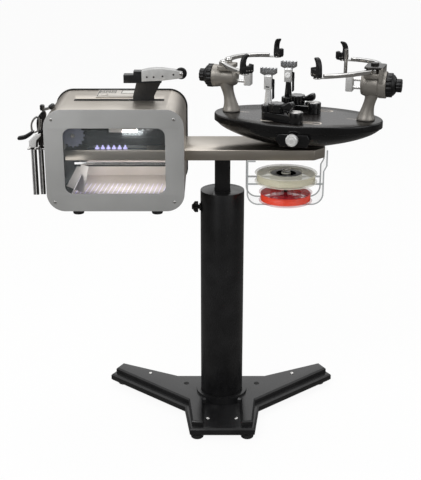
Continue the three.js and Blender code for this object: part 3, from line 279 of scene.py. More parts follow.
# %% [markdown]
# ### Plastics, rubber and string
#
# The knobs, claws and clamps are moulded black plastic with fine pits. The reel tray, the window and the
# sign are clear acrylic: it is shown by a low alpha with a bright gloss, which also lets light through to
# what stands behind. The string is nylon, smooth and a little translucent.

# %% Plastics, rubber and string
acrylic_bend = 1.49
# Black with a soft highlight that shows the pits.
black_plastic = finish("moulded_black_plastic", 0x0F0F10, 0.0, 0.7, (0.3, 0.42), (0.03, 0.35),
                       (20, 0x0C0C0D, 0x131314), {"Specular IOR Level": 0.3})
# Wet-looking black for the clamps.
gloss_plastic = finish("gloss_black_plastic", 0x070708, 0.0, 3.0, (0.12, 0.22), (0.02, 0.15),
                       more={"Coat Weight": 0.5, "Coat Roughness": 0.05})
# Pale grey for the walls and floors of the grooves.
pale_groove_coat = finish("pale_groove_faces", 0xDAD4CD, 0.0, 1.0, (0.34, 0.5), (0.03, 0.3))
# Dead black without a highlight.
rubber = finish("black_rubber", 0x151515, 0.0, 0.8, (0.68, 0.85), (0.06, 0.5))
# Warm pale film, its grey print and its clearer display.
key_film = finish("pale_keypad_film", 0xB4AFA8, 0.0, 0.6, (0.4, 0.52), (0.01, 0.2))
key_grey = finish("grey_key_print", 0x45433F, 0.0, 0.6, (0.44, 0.56), (0.01, 0.2))
display_film = finish("smoked_display_film", 0xC9C7C0, 0.0, 1.0, (0.16, 0.26), (0.01, 0.1))
# A sheet that shows by its reflections, and its denser grey edge.
clear_acrylic = finish("clear_acrylic", 0x9AA0A2, 0.0, 8.0, (0.04, 0.1), (0.02, 0.05),
                       more={"Alpha": 0.05, "IOR": acrylic_bend})
acrylic_edge = finish("polished_acrylic_edge", 0x858A8B, 0.0, 4.0, (0.06, 0.16), (0.02, 0.1),
                      more={"Alpha": 0.8, "IOR": acrylic_bend})
# Milky and red glassy flanges, with nylon string that glows a little in its turns.
clear_spool = finish("clear_spool_plastic", 0xE6E4D6, 0.0, 3.0, (0.14, 0.24), (0.02, 0.1),
                     more={"Alpha": 0.42})
red_spool = finish("clear_red_spool_plastic", 0xC02A38, 0.0, 2.0, (0.22, 0.34), (0.02, 0.1),
                   more={"Alpha": 0.3})
cream_string = finish("cream_nylon_string", 0xD2CDB6, 0.0, 2.0, (0.22, 0.36), (0.02, 0.1),
                      more={"Alpha": 0.85})
red_string = finish("orange_red_nylon_string", 0xF04A30, 0.0, 2.0, (0.22, 0.36), (0.02, 0.1),
                    more={"Alpha": 0.9})
# Violet-white light in the tray's slots, and the lamps under the sign.
lit_strip = glowing("violet_white_light_strip", 0xE4E0FF, 0.4, 0xC9C2FF, 0.6, (12, 0xD9D3FF, 0xF1EEFF))
violet_lamp = glowing("violet_lamp", 0x9C96DA, 0.5, 0xD6D2FF, 0.62, (6, 0x8C86CC, 0xB4AEE4))
print(len(bpy.data.materials), "materials so far")


# %% [markdown]
# ## The tools of this workshop
#
# Most of the machine is turned, bent or folded, and a few helpers follow those trades. `turned` draws a
# circle and extrudes it ring by ring, as a lathe follows a profile. `block` is a cube with bevelled edges.
# `outlined` drags a ring of points to an outline and gives it thickness. `refined` takes a copy of a CAD
# solid and rounds its edges. Each finished piece then rides on its body and stands for its solid.

# %% Helpers: selecting and placing
def nothing_selected():
    if bpy.context.object and bpy.context.object.mode != "OBJECT":
        bpy.ops.object.mode_set(mode="OBJECT")
    bpy.ops.object.select_all(action="DESELECT")


def only(piece):
    nothing_selected()
    piece.select_set(True)
    bpy.context.view_layer.objects.active = piece


def named(name):
    piece = bpy.context.object
    piece.name = piece.data.name = name
    return piece


def settle():
    bpy.ops.object.transform_apply(location=True, rotation=True, scale=True)


def placed(piece, matrix):
    only(piece)
    piece.matrix_world = matrix @ piece.matrix_world
    settle()
    return piece


def joined(name, pieces):
    only(pieces[0])
    for piece in pieces:
        piece.select_set(True)
    if len(pieces) > 1:
        bpy.ops.object.join()
    return named(name)


def cleaned(piece):
    """Welds the points that meet and turns every face outwards."""
    only(piece)
    bpy.ops.object.mode_set(mode="EDIT")
    bpy.ops.mesh.select_mode(type="VERT")
    bpy.ops.mesh.select_all(action="SELECT")
    bpy.ops.mesh.remove_doubles(threshold=1e-6)
    bpy.ops.mesh.normals_make_consistent(inside=False)
    bpy.ops.object.mode_set(mode="OBJECT")
    return piece


# %% Helpers: modifiers
def apply_modifiers(piece):
    only(piece)
    for modifier in list(piece.modifiers):
        bpy.ops.object.modifier_apply(modifier=modifier.name)
    return piece


def rounded(piece, width_mm, segments):
    bevel = piece.modifiers.new("rounded_edges", "BEVEL")
    bevel.width = width_mm / 1000
    bevel.segments = segments
    bevel.limit_method = "ANGLE"
    bevel.angle_limit = math.radians(30)
    bevel.harden_normals = False
    return apply_modifiers(piece)


def cut_with(piece, tool):
    """Cuts the tool's form out of the piece."""
    boolean = piece.modifiers.new("cut", "BOOLEAN")
    boolean.operation = "DIFFERENCE"
    boolean.solver = "EXACT"
    boolean.object = tool
    apply_modifiers(piece)
    bpy.data.objects.remove(tool, do_unlink=True)
    return piece


def cast(name, pieces, cell_mm, rounds):
    """Grows several solids into one skin, as a casting has it, and softens the corners where they meet."""
    whole = joined(name, pieces)
    remesh = whole.modifiers.new("one_skin", "REMESH")
    remesh.mode = "VOXEL"
    remesh.voxel_size = cell_mm / 1000
    remesh.adaptivity = 0.0
    smooth = whole.modifiers.new("soft_corners", "SMOOTH")
    smooth.factor = 0.5
    smooth.iterations = rounds
    return apply_modifiers(whole)


def refined(node, bevel_mm, segments):
    """A welded copy of a CAD solid with its edges rounded."""
    only(frame["nodes"][node])
    bpy.ops.object.duplicate()
    piece = named(f"{node}_finished")
    piece.parent = None
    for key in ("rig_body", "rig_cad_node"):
        if key in piece:
            del piece[key]
    piece.data.materials.clear()
    bpy.ops.object.mode_set(mode="EDIT")
    bpy.ops.mesh.select_all(action="SELECT")
    bpy.ops.mesh.remove_doubles(threshold=1e-5)
    bpy.ops.mesh.dissolve_limited(angle_limit=math.radians(1))
    bpy.ops.object.mode_set(mode="OBJECT")
    return rounded(piece, bevel_mm, segments) if bevel_mm else piece


# %% Helpers: shaping
def turned(name, rings, steps=64, loop=False):
    """rings: (radius, height) or (half length, half width, height, shift along X), in millimetres."""
    rings = [ring if len(ring) == 4 else (ring[0], ring[0], ring[1], 0) for ring in rings]
    nothing_selected()
    first = last = rings[0]
    bpy.ops.mesh.primitive_circle_add(
        vertices=steps, radius=first[0] / 1000, fill_type="NOTHING" if loop else "NGON",
        location=mm(0, 0, first[2]),
    )
    piece = named(name)
    settle()
    bpy.ops.object.mode_set(mode="EDIT")
    bpy.ops.mesh.select_mode(type="VERT")
    bpy.ops.mesh.select_all(action="SELECT")
    bpy.ops.transform.resize(value=(1, first[1] / first[0], 1), center_override=(0, 0, 0))
    bpy.ops.transform.translate(value=mm(first[3], 0, 0))
    for ring in rings[1:]:
        step = mm(ring[3] - last[3], 0, ring[2] - last[2])
        bpy.ops.mesh.extrude_region_move(TRANSFORM_OT_translate={"value": step})
        growth = (ring[0] / last[0], ring[1] / last[1], 1)
        bpy.ops.transform.resize(value=growth, center_override=mm(ring[3], 0, 0))
        last = ring
    return cleaned(piece)


def block(name, low, high, bevel_mm, segments=2):
    nothing_selected()
    size = [(b - a) / 1000 for a, b in zip(low, high)]
    centre = mm(*[(a + b) / 2 for a, b in zip(low, high)])
    bpy.ops.mesh.primitive_cube_add(size=1, location=centre, scale=size)
    piece = named(name)
    settle()
    bpy.ops.object.mode_set(mode="EDIT")
    bpy.ops.mesh.select_all(action="SELECT")
    bpy.ops.mesh.bevel(offset=bevel_mm / 1000, segments=segments, affect="EDGES")
    bpy.ops.object.mode_set(mode="OBJECT")
    return piece


def outlined(name, loops, depth_mm, bevel_mm=0.0, segments=2):
    """Closed outlines in X and Y with their holes, filled and raised by a depth along Z, edges rounded."""
    nothing_selected()
    shape = bpy.data.curves.new(name, "CURVE")
    shape.dimensions = "2D"
    shape.fill_mode = "BOTH"
    shape.extrude = depth_mm / 2000 - bevel_mm / 1000
    shape.bevel_depth = bevel_mm / 1000
    shape.offset = -bevel_mm / 1000
    shape.bevel_resolution = segments - 1
    for points in loops if isinstance(loops[0], list) else [loops]:
        spline = shape.splines.new("POLY")
        spline.points.add(len(points) - 1)
        spline.use_cyclic_u = True
        for point, (x, y) in zip(spline.points, points):
            point.co = (x / 1000, y / 1000, 0, 1)
    piece = bpy.data.objects.new(name, shape)
    bpy.context.scene.collection.objects.link(piece)
    piece.location = mm(0, 0, depth_mm / 2)
    only(piece)
    bpy.ops.object.convert(target="MESH")
    piece = named(name)
    settle()
    return cleaned(piece)


# %% Helpers: outlines
def arc(x, y, radius, start, end, steps):
    """Points on an arc, with the angles in degrees."""
    angles = [math.radians(start + (end - start) * step / steps) for step in range(steps + 1)]
    return [(x + radius * math.cos(angle), y + radius * math.sin(angle)) for angle in angles]


def round_disc(radius, steps, x, y):
    return arc(x, y, radius, 0, 360, steps)[:-1]


def rounded_box(width, height, radius, x=0, y=0, steps=8):
    a, b = width / 2 - radius, height / 2 - radius
    return (arc(x + a, y - b, radius, -90, 0, steps) + arc(x + a, y + b, radius, 0, 90, steps)
            + arc(x - a, y + b, radius, 90, 180, steps) + arc(x - a, y - b, radius, 180, 270, steps))


def stadium(length, width, steps=10):
    reach = (length - width) / 2
    return arc(reach, 0, width / 2, -90, 90, steps) + arc(-reach, 0, width / 2, 90, 270, steps)


def lobed(radius, depth, lobes, steps=10):
    """A knob's outline: round lobes with valleys between them."""
    points = []
    for step in range(lobes * steps):
        angle = 2 * math.pi * step / (lobes * steps)
        reach = radius - depth * (1 - abs(math.cos(lobes * angle / 2)) ** 0.7)
        points.append((reach * math.cos(angle), reach * math.sin(angle)))
    return points


def smoothed(points, steps=4, closed=True):
    """A Catmull-Rom curve through the points, closed or with two ends."""
    count = len(points)
    result = []
    for index in range(count if closed else count - 1):
        near = [index + step for step in (-1, 0, 1, 2)]
        near = [spot % count if closed else min(max(spot, 0), count - 1) for spot in near]
        corners = [points[spot] for spot in near]
        for step in range(steps):
            t = step / steps
            result.append(tuple(
                0.5 * (2 * b + (c - a) * t + (2 * a - 5 * b + 4 * c - d) * t * t
                       + (3 * b - a - 3 * c + d) * t ** 3)
                for a, b, c, d in zip(*corners)
            ))
    return result if closed else result + [tuple(points[-1])]


# %% Helpers: finishing
def coated(piece, material):
    piece.data.materials.append(material)
    return piece


def with_finishes(piece, materials, pick):
    """Several finishes on one piece: pick gives each face the number of its finish."""
    piece.data.materials.clear()
    for material in materials:
        coated(piece, material)
    for face in piece.data.polygons:
        face.material_index = int(pick(face))
    return piece


def dressed(piece, body, material, replaces=(), angle=35):
    only(piece)
    settle()
    if not piece.data.materials:
        coated(piece, material)
    bpy.ops.object.shade_smooth_by_angle(angle=math.radians(angle))
    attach(piece, body)
    if replaces:
        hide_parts(*replaces)
    return piece


def stands_for(piece, node, material, angle=35):
    return dressed(piece, body_of_node[node], material, (node,), angle)


def assembled(node, parts, place, material, angle=35):
    """Joins the parts of one node, places them and lets them stand for it."""
    return stands_for(placed(joined(f"{node}_finished", parts), place), node, material, angle)


def screw(name, radius, height, matrix, body, material=chrome):
    """A button-head screw with a hexagon socket, its head rising along local Z."""
    head = turned(name, [
        (radius, 0), (radius, 0.45 * height), (0.92 * radius, 0.75 * height), (0.7 * radius, height),
        (0.42 * radius, height), (0.4 * radius, 0.55 * height),
    ], 24)
    return dressed(placed(head, matrix), body, material)


print("helpers ready")

# %% [markdown]
# ## Solids that only need rounded edges
#
# Folded sheet, bars and machined blocks are right as the CAD gives them, apart from their knife-sharp
# edges. Each gets a small bevel: real edges catch a thin line of light, and without it metal and plastic
# look cut from paper. The rear panel's inner side is dull zinc, and the side walls of the tray stand in
# violet shade.

# %% Rounded copies of the CAD solids
edge_work = {
    "base_casting": (3.6, 4, powder_coat), "column_tube": (0.8, 2, powder_coat),
    "mast_tube": (1.5, 3, powder_coat),
    "rail_beam": (1.4, 3, brushed_steel), "rear_panel": (0.6, 2, powder_coat),
    "interior_tray": (0.3, 1, pale_coat),
    "drive_motor": (0.8, 2, powder_coat), "drive_gear": (0.4, 1, gear_steel), "drive_belt": (0.3, 1, rubber),
    "guide_rail": (0.5, 2, satin_chrome), "puller_bracket": (0.8, 2, powder_coat),
    "gripper_body": (2.0, 3, gripper_coat), "reel_spindle": (0.5, 2, black_plastic),
    "tool_holder": (0.4, 2, chrome),
    "control_panel": (0.6, 2, key_film), "start_button": (0.6, 2, key_film),
}
for node in ("front_left_foot", "front_right_foot", "left_arm_foot", "right_arm_foot"):
    edge_work[node] = (0.8, 2, rubber)
inner_faces = {
    "rear_panel": (zinc_with_painted_shade, lambda face: face.normal.y < -0.5),
    # The tray's side walls get the lining with painted violet shade.
    "interior_tray": (violet_shade, lambda face: abs(face.normal.x) > 0.5),
}
for node, (bevel, segments, material) in edge_work.items():
    piece = refined(node, bevel, segments)
    if node in inner_faces:
        inner_finish, faces_in = inner_faces[node]
        with_finishes(piece, (material, inner_finish), faces_in)
    stands_for(piece, node, material)
print(len(edge_work), "solids have rounded edges")

# %% [markdown]
# ## The wrap round the head
#
# One brushed sheet is bent right round the head. Its inner side isn't brushed but dull, and it stands in
# shadow, so the faces that look inwards get a rougher zinc finish with that shadow painted in as a darker
# grey.

# %% The wrap
casing_low, casing_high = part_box("head_casing")
casing_middle = (casing_low + casing_high) / 2


def looks_inward(face):
    outward = face.center - casing_middle
    outward.y = 0
    return abs(face.normal.y) < 0.5 and face.normal.dot(outward) < 0


# The wrap's inward faces get dull zinc with painted shade: a darker grey than the steel outside.
casing = with_finishes(refined("head_casing", 0.5, 1), (brushed_steel, zinc_with_painted_shade), looks_inward)
stands_for(casing, "head_casing", brushed_steel)

# %% [markdown]
# Black lips round the puller's slot are painted shade that widens the slot into a dark line. A black trim
# closes the wrap at the back.

# %% Painted shade round the slot, and the trim at the back
bezel_low, bezel_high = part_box("front_bezel")
head_x = (bezel_low.x + bezel_high.x) * 500
head_z = (bezel_low.z + bezel_high.z) * 500
trim_back, slot_x, slot_y, roof_top = 119.6, -260, -13, 868.8
trim_lines = [rounded_box(348, 263, 48.5, steps=20), rounded_box(340.4, 255.4, 44.6, steps=20)]
trim = placed(outlined("rear_trim", trim_lines, 4, 0.8), shift(head_x, trim_back, head_z, to_front))
dressed(trim, "mast", rubber)
# Painted shade: a black rim round the slot, so that it reads as a dark line.
lips = outlined("slot_painted_shade", [rounded_box(226, 20, 3), rounded_box(214, 8, 1.4)], 1.2)
dressed(placed(lips, world @ shift(slot_x, slot_y, roof_top)), "mast", rubber)

# %% [markdown]
# ## The clear sheets
#
# The window pane, the lit sign and the reel tray are cut from clear acrylic. A clear sheet shows mostly by
# its polished edges, so the faces that show the sheet's thickness get their own, denser finish.

# %% Clear sheets
def clear_sheet(node, bevel, is_edge):
    piece = with_finishes(refined(node, bevel, 2), (clear_acrylic, acrylic_edge), is_edge)
    return stands_for(piece, node, clear_acrylic)


clear_sheet("window_pane", 0.0, lambda face: abs(face.normal.y) < 0.5)
clear_sheet("light_sign", 0.4, lambda face: abs(face.normal.y) < 0.5)
clear_sheet("reel_tray", 0.4, lambda face: abs(face.normal.y) > 0.5)

# %% [markdown]
# ## The bezel
#
# The bezel is one cut plate with generous round corners and a round-cornered window. A curve with two
# closed outlines gives exactly that: the inner outline becomes the hole, and the curve's own bevel rounds
# every edge. Four chrome screws hold it to the wrap.

# %% The bezel
bezel_lines = [rounded_box(341, 256, 45, steps=20), rounded_box(248, 165, 20, y=-0.5, steps=12)]
bezel = outlined("front_bezel_plate", bezel_lines, 4, 0.8, 3)
bezel_face = -129.9
stands_for(placed(bezel, shift(head_x, bezel_high.y * 1000, head_z, to_front)), "front_bezel", grey_paint)
for index, (x, z) in enumerate([(-416, 845), (-120, 845), (-416, 637), (-120, 637)]):
    screw(f"bezel_screw_{index + 1}", 3.6, 1.5, world @ shift(x, bezel_face, z, to_front), "mast")

# %% [markdown]
# ## Feet under the head
#
# Four black bumpers under the casing keep the head off a table when the machine is lifted from its stand.

# %% Bumpers
bumper_rings = [(11, 602.5), (13, 603.2), (14, 606), (14, 613.4)]
for index, (x, y) in enumerate([(-361, -112), (-164, -112), (-361, 95), (-164, 95)]):
    bumper = turned(f"head_bumper_{index + 1}", bumper_rings, 40)
    dressed(placed(bumper, world @ shift(x, y)), "mast", rubber)

# %% [markdown]
# ## The keypad
#
# The controls are a printed film on the pale panel: two rows of small keys beside a display. Raised by a
# third of a millimetre, they give the panel its fine outlines. They carry no letters.

# %% Keys and display
panel_top, print_height = 872.2, 0.3
first_key, key_pitch = (-311, 66), (15, 19)
display_spot, frame_spot = (-239, 74), (-265.5, 58.5)


def printed_line(outer, inner, x, y):
    line = outlined("printed_line", [rounded_box(*outer), rounded_box(*inner)], print_height)
    return placed(line, shift(x, y, panel_top))


prints = []
for row in range(2):
    for column in range(3):
        x, y = first_key[0] + key_pitch[0] * column, first_key[1] + key_pitch[1] * row
        prints.append(printed_line((12.6, 16, 2), (8.4, 9, 1.4), x, y))
prints.append(printed_line((109, 83, 4), (104.6, 75, 3.4), *frame_spot))
prints.append(printed_line((45, 44, 3), (41, 35, 2), *display_spot))
dressed(placed(joined("key_outlines", prints), world), "mast", key_grey)
display = outlined("display", rounded_box(40, 34, 2), 0.5, 0.15)
dressed(placed(display, world @ shift(*display_spot, panel_top - 0.1)), "mast", display_film)

# %% [markdown]
# ## The turntable
#
# The plate is an ellipse with a thick rounded rim, and the hull under it curves like a boat. Both start as
# a circle that is extruded ring by ring and scaled to the ellipse, because that gives an even skin with no
# seams. The ring sizes between the measured ones come from a smooth curve through them.

# %% Hull
long_half, wide_half, table_top = 216.5, 125, 827
hull_rows = [
    (0.36, 0.46, 759.8), (0.5, 0.6, 765.4), (0.73, 0.8, 778.6), (0.9, 0.93, 793.5), (0.985, 0.985, 807),
]
hull_rings = [(a * long_half, b * wide_half, z, 0) for a, b, z in smoothed(hull_rows, closed=False)]
holder_line = [(-27, 790), (-18, 806.9), (54, 806.9), (60, 792), (52, 775.2), (-14, 775.2)]
holder_back = -94.6
holder = placed(outlined("brake_holder", holder_line, 30, 3, 4), shift(y=holder_back, turn=to_front))
assembled("turntable_hull", [turned("hull_shell", hull_rings, 128), holder], table, gloss_coat, 50)

# %% [markdown]
# ### Grooves in the plate
#
# Two long rounded grooves guide each string clamp, and short slots stand in line with the towers. They are
# really cut, 1.5 mm deep, with one tool that is subtracted from the plate: only a real groove has a lit and
# a shaded wall.

# %% Plate with its grooves
plate_rows = [
    (0.97, 807.3), (0.99, 807.6), (1.0, 809), (1.0, 823), (0.9965, 825), (0.991, 826.5), (0.985, 827),
]
plate = turned("turntable_plate_finished", [(s * long_half, s * wide_half, z, 0) for s, z in plate_rows], 128)
groove_depth = 1.5
guide, slide, notch = [stadium(157, 25), stadium(148, 16)], stadium(92, 5), stadium(26, 3)
marks = [
    (guide, 0, 74), (slide, 10, 74), (guide, 0, -74), (slide, 10, -74), (notch, 139, 0), (notch, -139, 0),
]
tools = [placed(outlined("groove", line, 5), shift(u, v, table_top - groove_depth)) for line, u, v in marks]
plate = cut_with(plate, joined("groove_tool", tools))


def plate_finish(face):
    x, y, z = (1000 * value for value in face.center)
    in_groove = math.hypot(x / long_half, y / wide_half) < 0.97 and table_top - 2 < z < table_top - 0.05
    return 2 if in_groove else face.normal.z > 0.9


with_finishes(plate, (gloss_coat, table_coat, pale_groove_coat), plate_finish)
stands_for(placed(plate, table), "turntable_plate", gloss_coat, 50)

# %% [markdown]
# ## The brake knob
#
# The brake's knob is turned bright with a finely knurled rim and a dished face, on a stud.

# %% The brake knob
rim = outlined("brake_rim", lobed(15, 0.5, 60, 4), 10.4, 0.8)
face_rings = [(12.4, 10.2), (11.6, 10.9), (9.4, 10.9), (8.8, 10.3), (4.4, 10.1), (4.0, 11.2), (1.0, 11.4)]
stem = turned("brake_stem", [(4, -22), (4, 0.5)], 24)
brake_place = table @ shift(18, -130, 795, to_front)
assembled("brake_knob", [rim, turned("brake_face", face_rings, 60), stem], brake_place, bright_nickel, 25)

# %% [markdown]
# ## The towers
#
# Each tower is one aluminium casting: a leaning stem with a flared foot, a barrel for the screws, and a
# saddle for the arms. The parts are modelled one by one and then grown into one skin, so they meet in soft
# fillets as a casting does.

# %% Towers
tower_axis = 917
stem_foot, stem_height, stem_radius, stem_flare = 827.3, 79, 15, 8
stem_u, stem_lean = 174, 16
stem_rows = [(0, 1, 0), (0.06, 0.98, 0), (0.2, 0.47, 0.05), (0.45, 0, 0.3), (0.7, 0.06, 0.65), (1, 0.7, 1)]
barrels = {
    "right": [(18, 158.2), (26, 160), (29.5, 168), (29.5, 200.5), (32.6, 203.8), (33, 205), (33, 221.2),
              (32.4, 221.7)],
    "left": [(15, 158.2), (20, 160), (23, 166), (24, 178), (25.5, 195), (28.4, 212),
             (29, 221.2), (28.4, 221.7)],
}
for side, place in sides.items():
    rings = []
    for height, girth, lean in smoothed(stem_rows, closed=False):
        radius = stem_radius + stem_flare * girth
        rings.append((radius, radius, stem_foot + stem_height * height, stem_u + stem_lean * lean))
    barrel = placed(turned("barrel", barrels[side], 64), shift(z=tower_axis, turn=to_right))
    castings = [turned("stem", rings, 48), barrel, block("saddle", (168, -36, 936), (203, 36, 948), 2.0, 3)]
    if side == "right":
        castings.append(block("heel", (204.2, -33.6, 925), (214.6, 33.6, 963), 2.0, 3))
    tower = cast(f"{side}_tower_finished", castings, 1.1, 4)
    stands_for(placed(tower, place), f"{side}_tower", silver_coat, 60)

# %% [markdown]
# The right tower has a dark plated bracket over the arms' eyes, with a hexagon nut. On the left the arms'
# pins show their button-head screws.

# %% Bracket and pins
pin_u, pin_v, pin_top = 190, 24, 958.2
cap_plate = placed(outlined("cap_plate", rounded_box(47, 68, 8), 5, 0.8), shift(191.5, 0, 958.4))
web = block("cap_web", (169, -4, 946), (206, 4, 960), 0.4)
nut = placed(turned("cap_nut", [(10, 963.2), (11, 964), (11, 969), (9.6, 970.2)], 6), shift(pin_u))
bracket = joined("right_tower_bracket", [cap_plate, web, nut])
dressed(placed(bracket, table), "turntable", dark_plate)
for index, v in enumerate((pin_v, -pin_v)):
    screw(f"left_pin_screw_{index + 1}", 7, 3.6, sides["left"] @ shift(pin_u, v, pin_top), "turntable")

# %% [markdown]
# ## Inner supports and their knobs
#
# A chromed pad on two rods holds the racket's frame from inside. The big ribbed knob moves it, and the
# small one on the same axis closes the arms. The ribs are lobes with narrow valleys, rounded at their rims.

# %% Supports and knobs
rod_rise = 10
length_rim, arm_rim = 222.1, 244.4
dome_rings = [(27, 234), (26.6, 236), (24.4, 239.6), (20.6, 242.4), (18.8, 243.9), (6, 243.9)]
boss_rings = [(8.6, 257), (8.2, 257.8), (7.2, 257.8), (6.8, 256.6), (1, 256.6)]
for side, place in sides.items():
    pad = block("pad", (121, -12, 897), (139, 12, 937), 2.5, 4)
    rods = [placed(turned("rod", [(4.6, 130), (4.6, 198)], 32), shift(z=tower_axis + rise, turn=to_right))
            for rise in (rod_rise, -rod_rise)]
    assembled(f"{side}_support", [pad, *rods], place, bright_nickel)
    axis = place @ shift(z=tower_axis, turn=to_right)
    rim = placed(outlined("rim", lobed(30, 2.4, 14), 13.2, 1.2, 3), shift(z=length_rim))
    assembled(f"{side}_length_knob", [rim, turned("dome", dome_rings)], axis, black_plastic)
    rim = placed(outlined("rim", lobed(16.5, 2.0, 10), 13.3, 1.4, 3), shift(z=arm_rim))
    assembled(f"{side}_arm_knob", [rim, turned("boss", boss_rings, 40)], axis, black_plastic)

# %% [markdown]
# ## The side arms
#
# Four flat chromed arms curve from the towers round the racket's head. Each follows a quadratic curve from
# its eye to its tip, where it is milled down to a thin tongue under the hook.

# %% Side arms
tips = {
    ("right", "near"): (76, -138), ("right", "far"): (88, 138),
    ("left", "near"): (101, 138), ("left", "far"): (88, -138),
}
bends = {"near": (149, 105), "far": (206, 132)}
arm_half, arm_level, eye_radius = 6, 948.35, 10


def arm_strip(eye, bend, tip, start, end, steps=24):
    """An outline of the arm's width along part of its curve."""
    edges = ([], [])
    for step in range(steps + 1):
        t = start + (end - start) * step / steps
        x, y = ((1 - t) ** 2 * a + 2 * t * (1 - t) * b + t * t * c for a, b, c in zip(eye, bend, tip))
        run = [2 * (1 - t) * (b - a) + 2 * t * (c - b) for a, b, c in zip(eye, bend, tip)]
        length = math.hypot(*run)
        for edge, reach in zip(edges, (arm_half, -arm_half)):
            edge.append((x - run[1] / length * reach, y + run[0] / length * reach))
    return edges[0] + edges[1][::-1]


for (side, spot), tip in tips.items():
    bend_u, bend_v = bends[spot]
    curve = (pin_u, math.copysign(pin_v, tip[1])), (bend_u, math.copysign(bend_v, tip[1])), tip
    bar = outlined("bar", arm_strip(*curve, 0, 0.905), 9.6, 1.6, 3)
    tongue = outlined("tongue", arm_strip(*curve, 0.85, 0.99, 6), 2.9, 0.4)
    eye = outlined("eye", round_disc(eye_radius, 40, *curve[0]), 9.8, 1.4, 3)
    seat = outlined("seat", round_disc(eye_radius, 40, *tip), 3, 0.5)
    stud = placed(turned("stud", [(4, 0), (4, 17)], 24), shift(*tip))
    assembled(f"{side}_{spot}_arm", [bar, tongue, eye, seat, stud], sides[side] @ shift(z=arm_level), chrome)

# %% [markdown]
# ## The hooks
#
# A hook is moulded in black: a block that carries the racket's frame, and a claw that curls over it from
# outside. The claw's outline is a smooth closed curve, the block keeps its corners. Three small rivets hold
# the block's liner.

# %% Hooks
hook_level = 951.6
claw_line = smoothed([
    (-11.4, 3), (1.6, 3), (2.2, 15), (0.9, 25.7), (3.4, 35.2), (9.2, 43.2), (5.6, 46.3), (-3.8, 42),
    (-9.9, 30.4), (-11.8, 15),
], 5)
seat_line = [(-11, 0), (18.2, 0), (21.7, 4.7), (21.7, 20.4), (15.4, 22.3), (12.4, 17.5), (-11, 17.5)]
for (side, spot), tip in tips.items():
    inward = Matrix.Rotation(math.pi + math.copysign(math.radians(45), tip[1]), 4, "Z")
    stand = sides[side] @ shift(*tip, hook_level, inward)
    claw = placed(outlined("claw", claw_line, 11.4, 1.8, 4), shift(y=5.7, turn=to_front))
    seat = placed(outlined("seat", seat_line, 12, 1.2, 3), shift(y=6, turn=to_front))
    assembled(f"{side}_{spot}_hook", [claw, seat], stand, black_plastic)
    rivets = [placed(turned("rivet", [(1.7, -0.2), (1.7, 12.2)], 20), shift(reach, 6.1, 6.5, to_front))
              for reach in (2, 9, 16)]
    rivets = placed(joined(f"{side}_{spot}_rivets", rivets), stand)
    dressed(rivets, f"{side}_{spot}_hook_body", satin_chrome)

# %% [markdown]
# A flat chromed gauge strip hangs beside the far right hook.

# %% Gauge strip
strip = outlined("gauge_strip", rounded_box(9, 64, 2), 2.4, 0.5)
pin = placed(turned("gauge_pin", [(1.6, -19), (1.6, 3.2), (2.8, 3.4), (2.8, 4.6)], 20), shift(y=24))
strip = placed(joined("gauge_strip", [strip, pin]), world @ shift(317, 81, 950, to_front))
dressed(strip, "right_far_hook_body", chrome)

# %% [markdown]
# ## The string clamps
#
# Each clamp has a gloss black base that swings on the plate, a post with a pair of toothed jaws, and a
# lobed lever that locks it. The teeth grip between the crossing strings. The front post is chromed, the
# rear one has a black sleeve that widens downwards.

# %% The outline of a jaw
def jaw_outline(bottom):
    half, neck, tooth_root, jaw_top = 20.5, 9, 946, 956
    pitch = 2 * half / 4.6
    points = [(-neck, bottom), (neck, bottom), (neck, 937), (16, 940), (half, 942.5)]
    for index in range(4, -1, -1):
        left = -half + index * pitch
        points += [(left + 0.58 * pitch, jaw_top - 1), (left + 0.42 * pitch, jaw_top)]
        points += [(left + 0.1 * pitch, jaw_top), (left, jaw_top - 1)]
        if index:
            points += [(left - 0.1 * pitch, tooth_root), (left - 0.3 * pitch, tooth_root)]
    return points + [(-half, 942.5), (-16, 940), (-neck, 937)]


# %% Base and pivot
def clamp_base(clamp, place, reach):
    """A flat arm from the post to the pivot, whose round cap has a chrome disc."""
    arm_line = arc(reach, 0, 20.3, -78, 78, 24) + arc(0, 0, 16, 84, 276, 24)
    arm = placed(outlined("arm", arm_line, 21, 2.2, 3), shift(z=827.4))
    cap_rings = [(20.3, 828), (20.3, 852.6), (19.7, 854.4), (18, 855.2), (16, 855.2),
                 (15.6, 854.6), (2, 854.6)]
    cap = placed(turned("pivot", cap_rings, 56), shift(reach))
    assembled(f"{clamp}_base", [arm, cap], place, gloss_plastic)
    disc = turned(f"{clamp}_pivot_disc", [(15.4, 854.4), (15.4, 855), (14.6, 855.6), (2, 855.7)], 48)
    dressed(placed(disc, place @ shift(reach)), f"{clamp}_base_body", satin_chrome)


# %% Lock lever
def clamp_lock(clamp, place):
    """A lobed hub round the post, a bigger cam beside it and a thumb wing."""
    hub = placed(outlined("hub", lobed(17, 2.2, 9), 15.8, 1.6, 3), shift(z=848.7))
    cam = placed(outlined("cam", lobed(21, 2.0, 9), 22, 2.2, 4), shift(24, 0, 849.2))
    wing_line = smoothed([(30, 9), (48, 9.4), (66, 10), (72, 18), (69, 29), (58, 27), (46, 20), (30, 20)])
    wing = placed(outlined("wing", wing_line, 17, 3.2, 4), shift(0, 8.5, 848.6, to_front))
    assembled(f"{clamp}_lock", [hub, cam, wing], place, gloss_plastic)


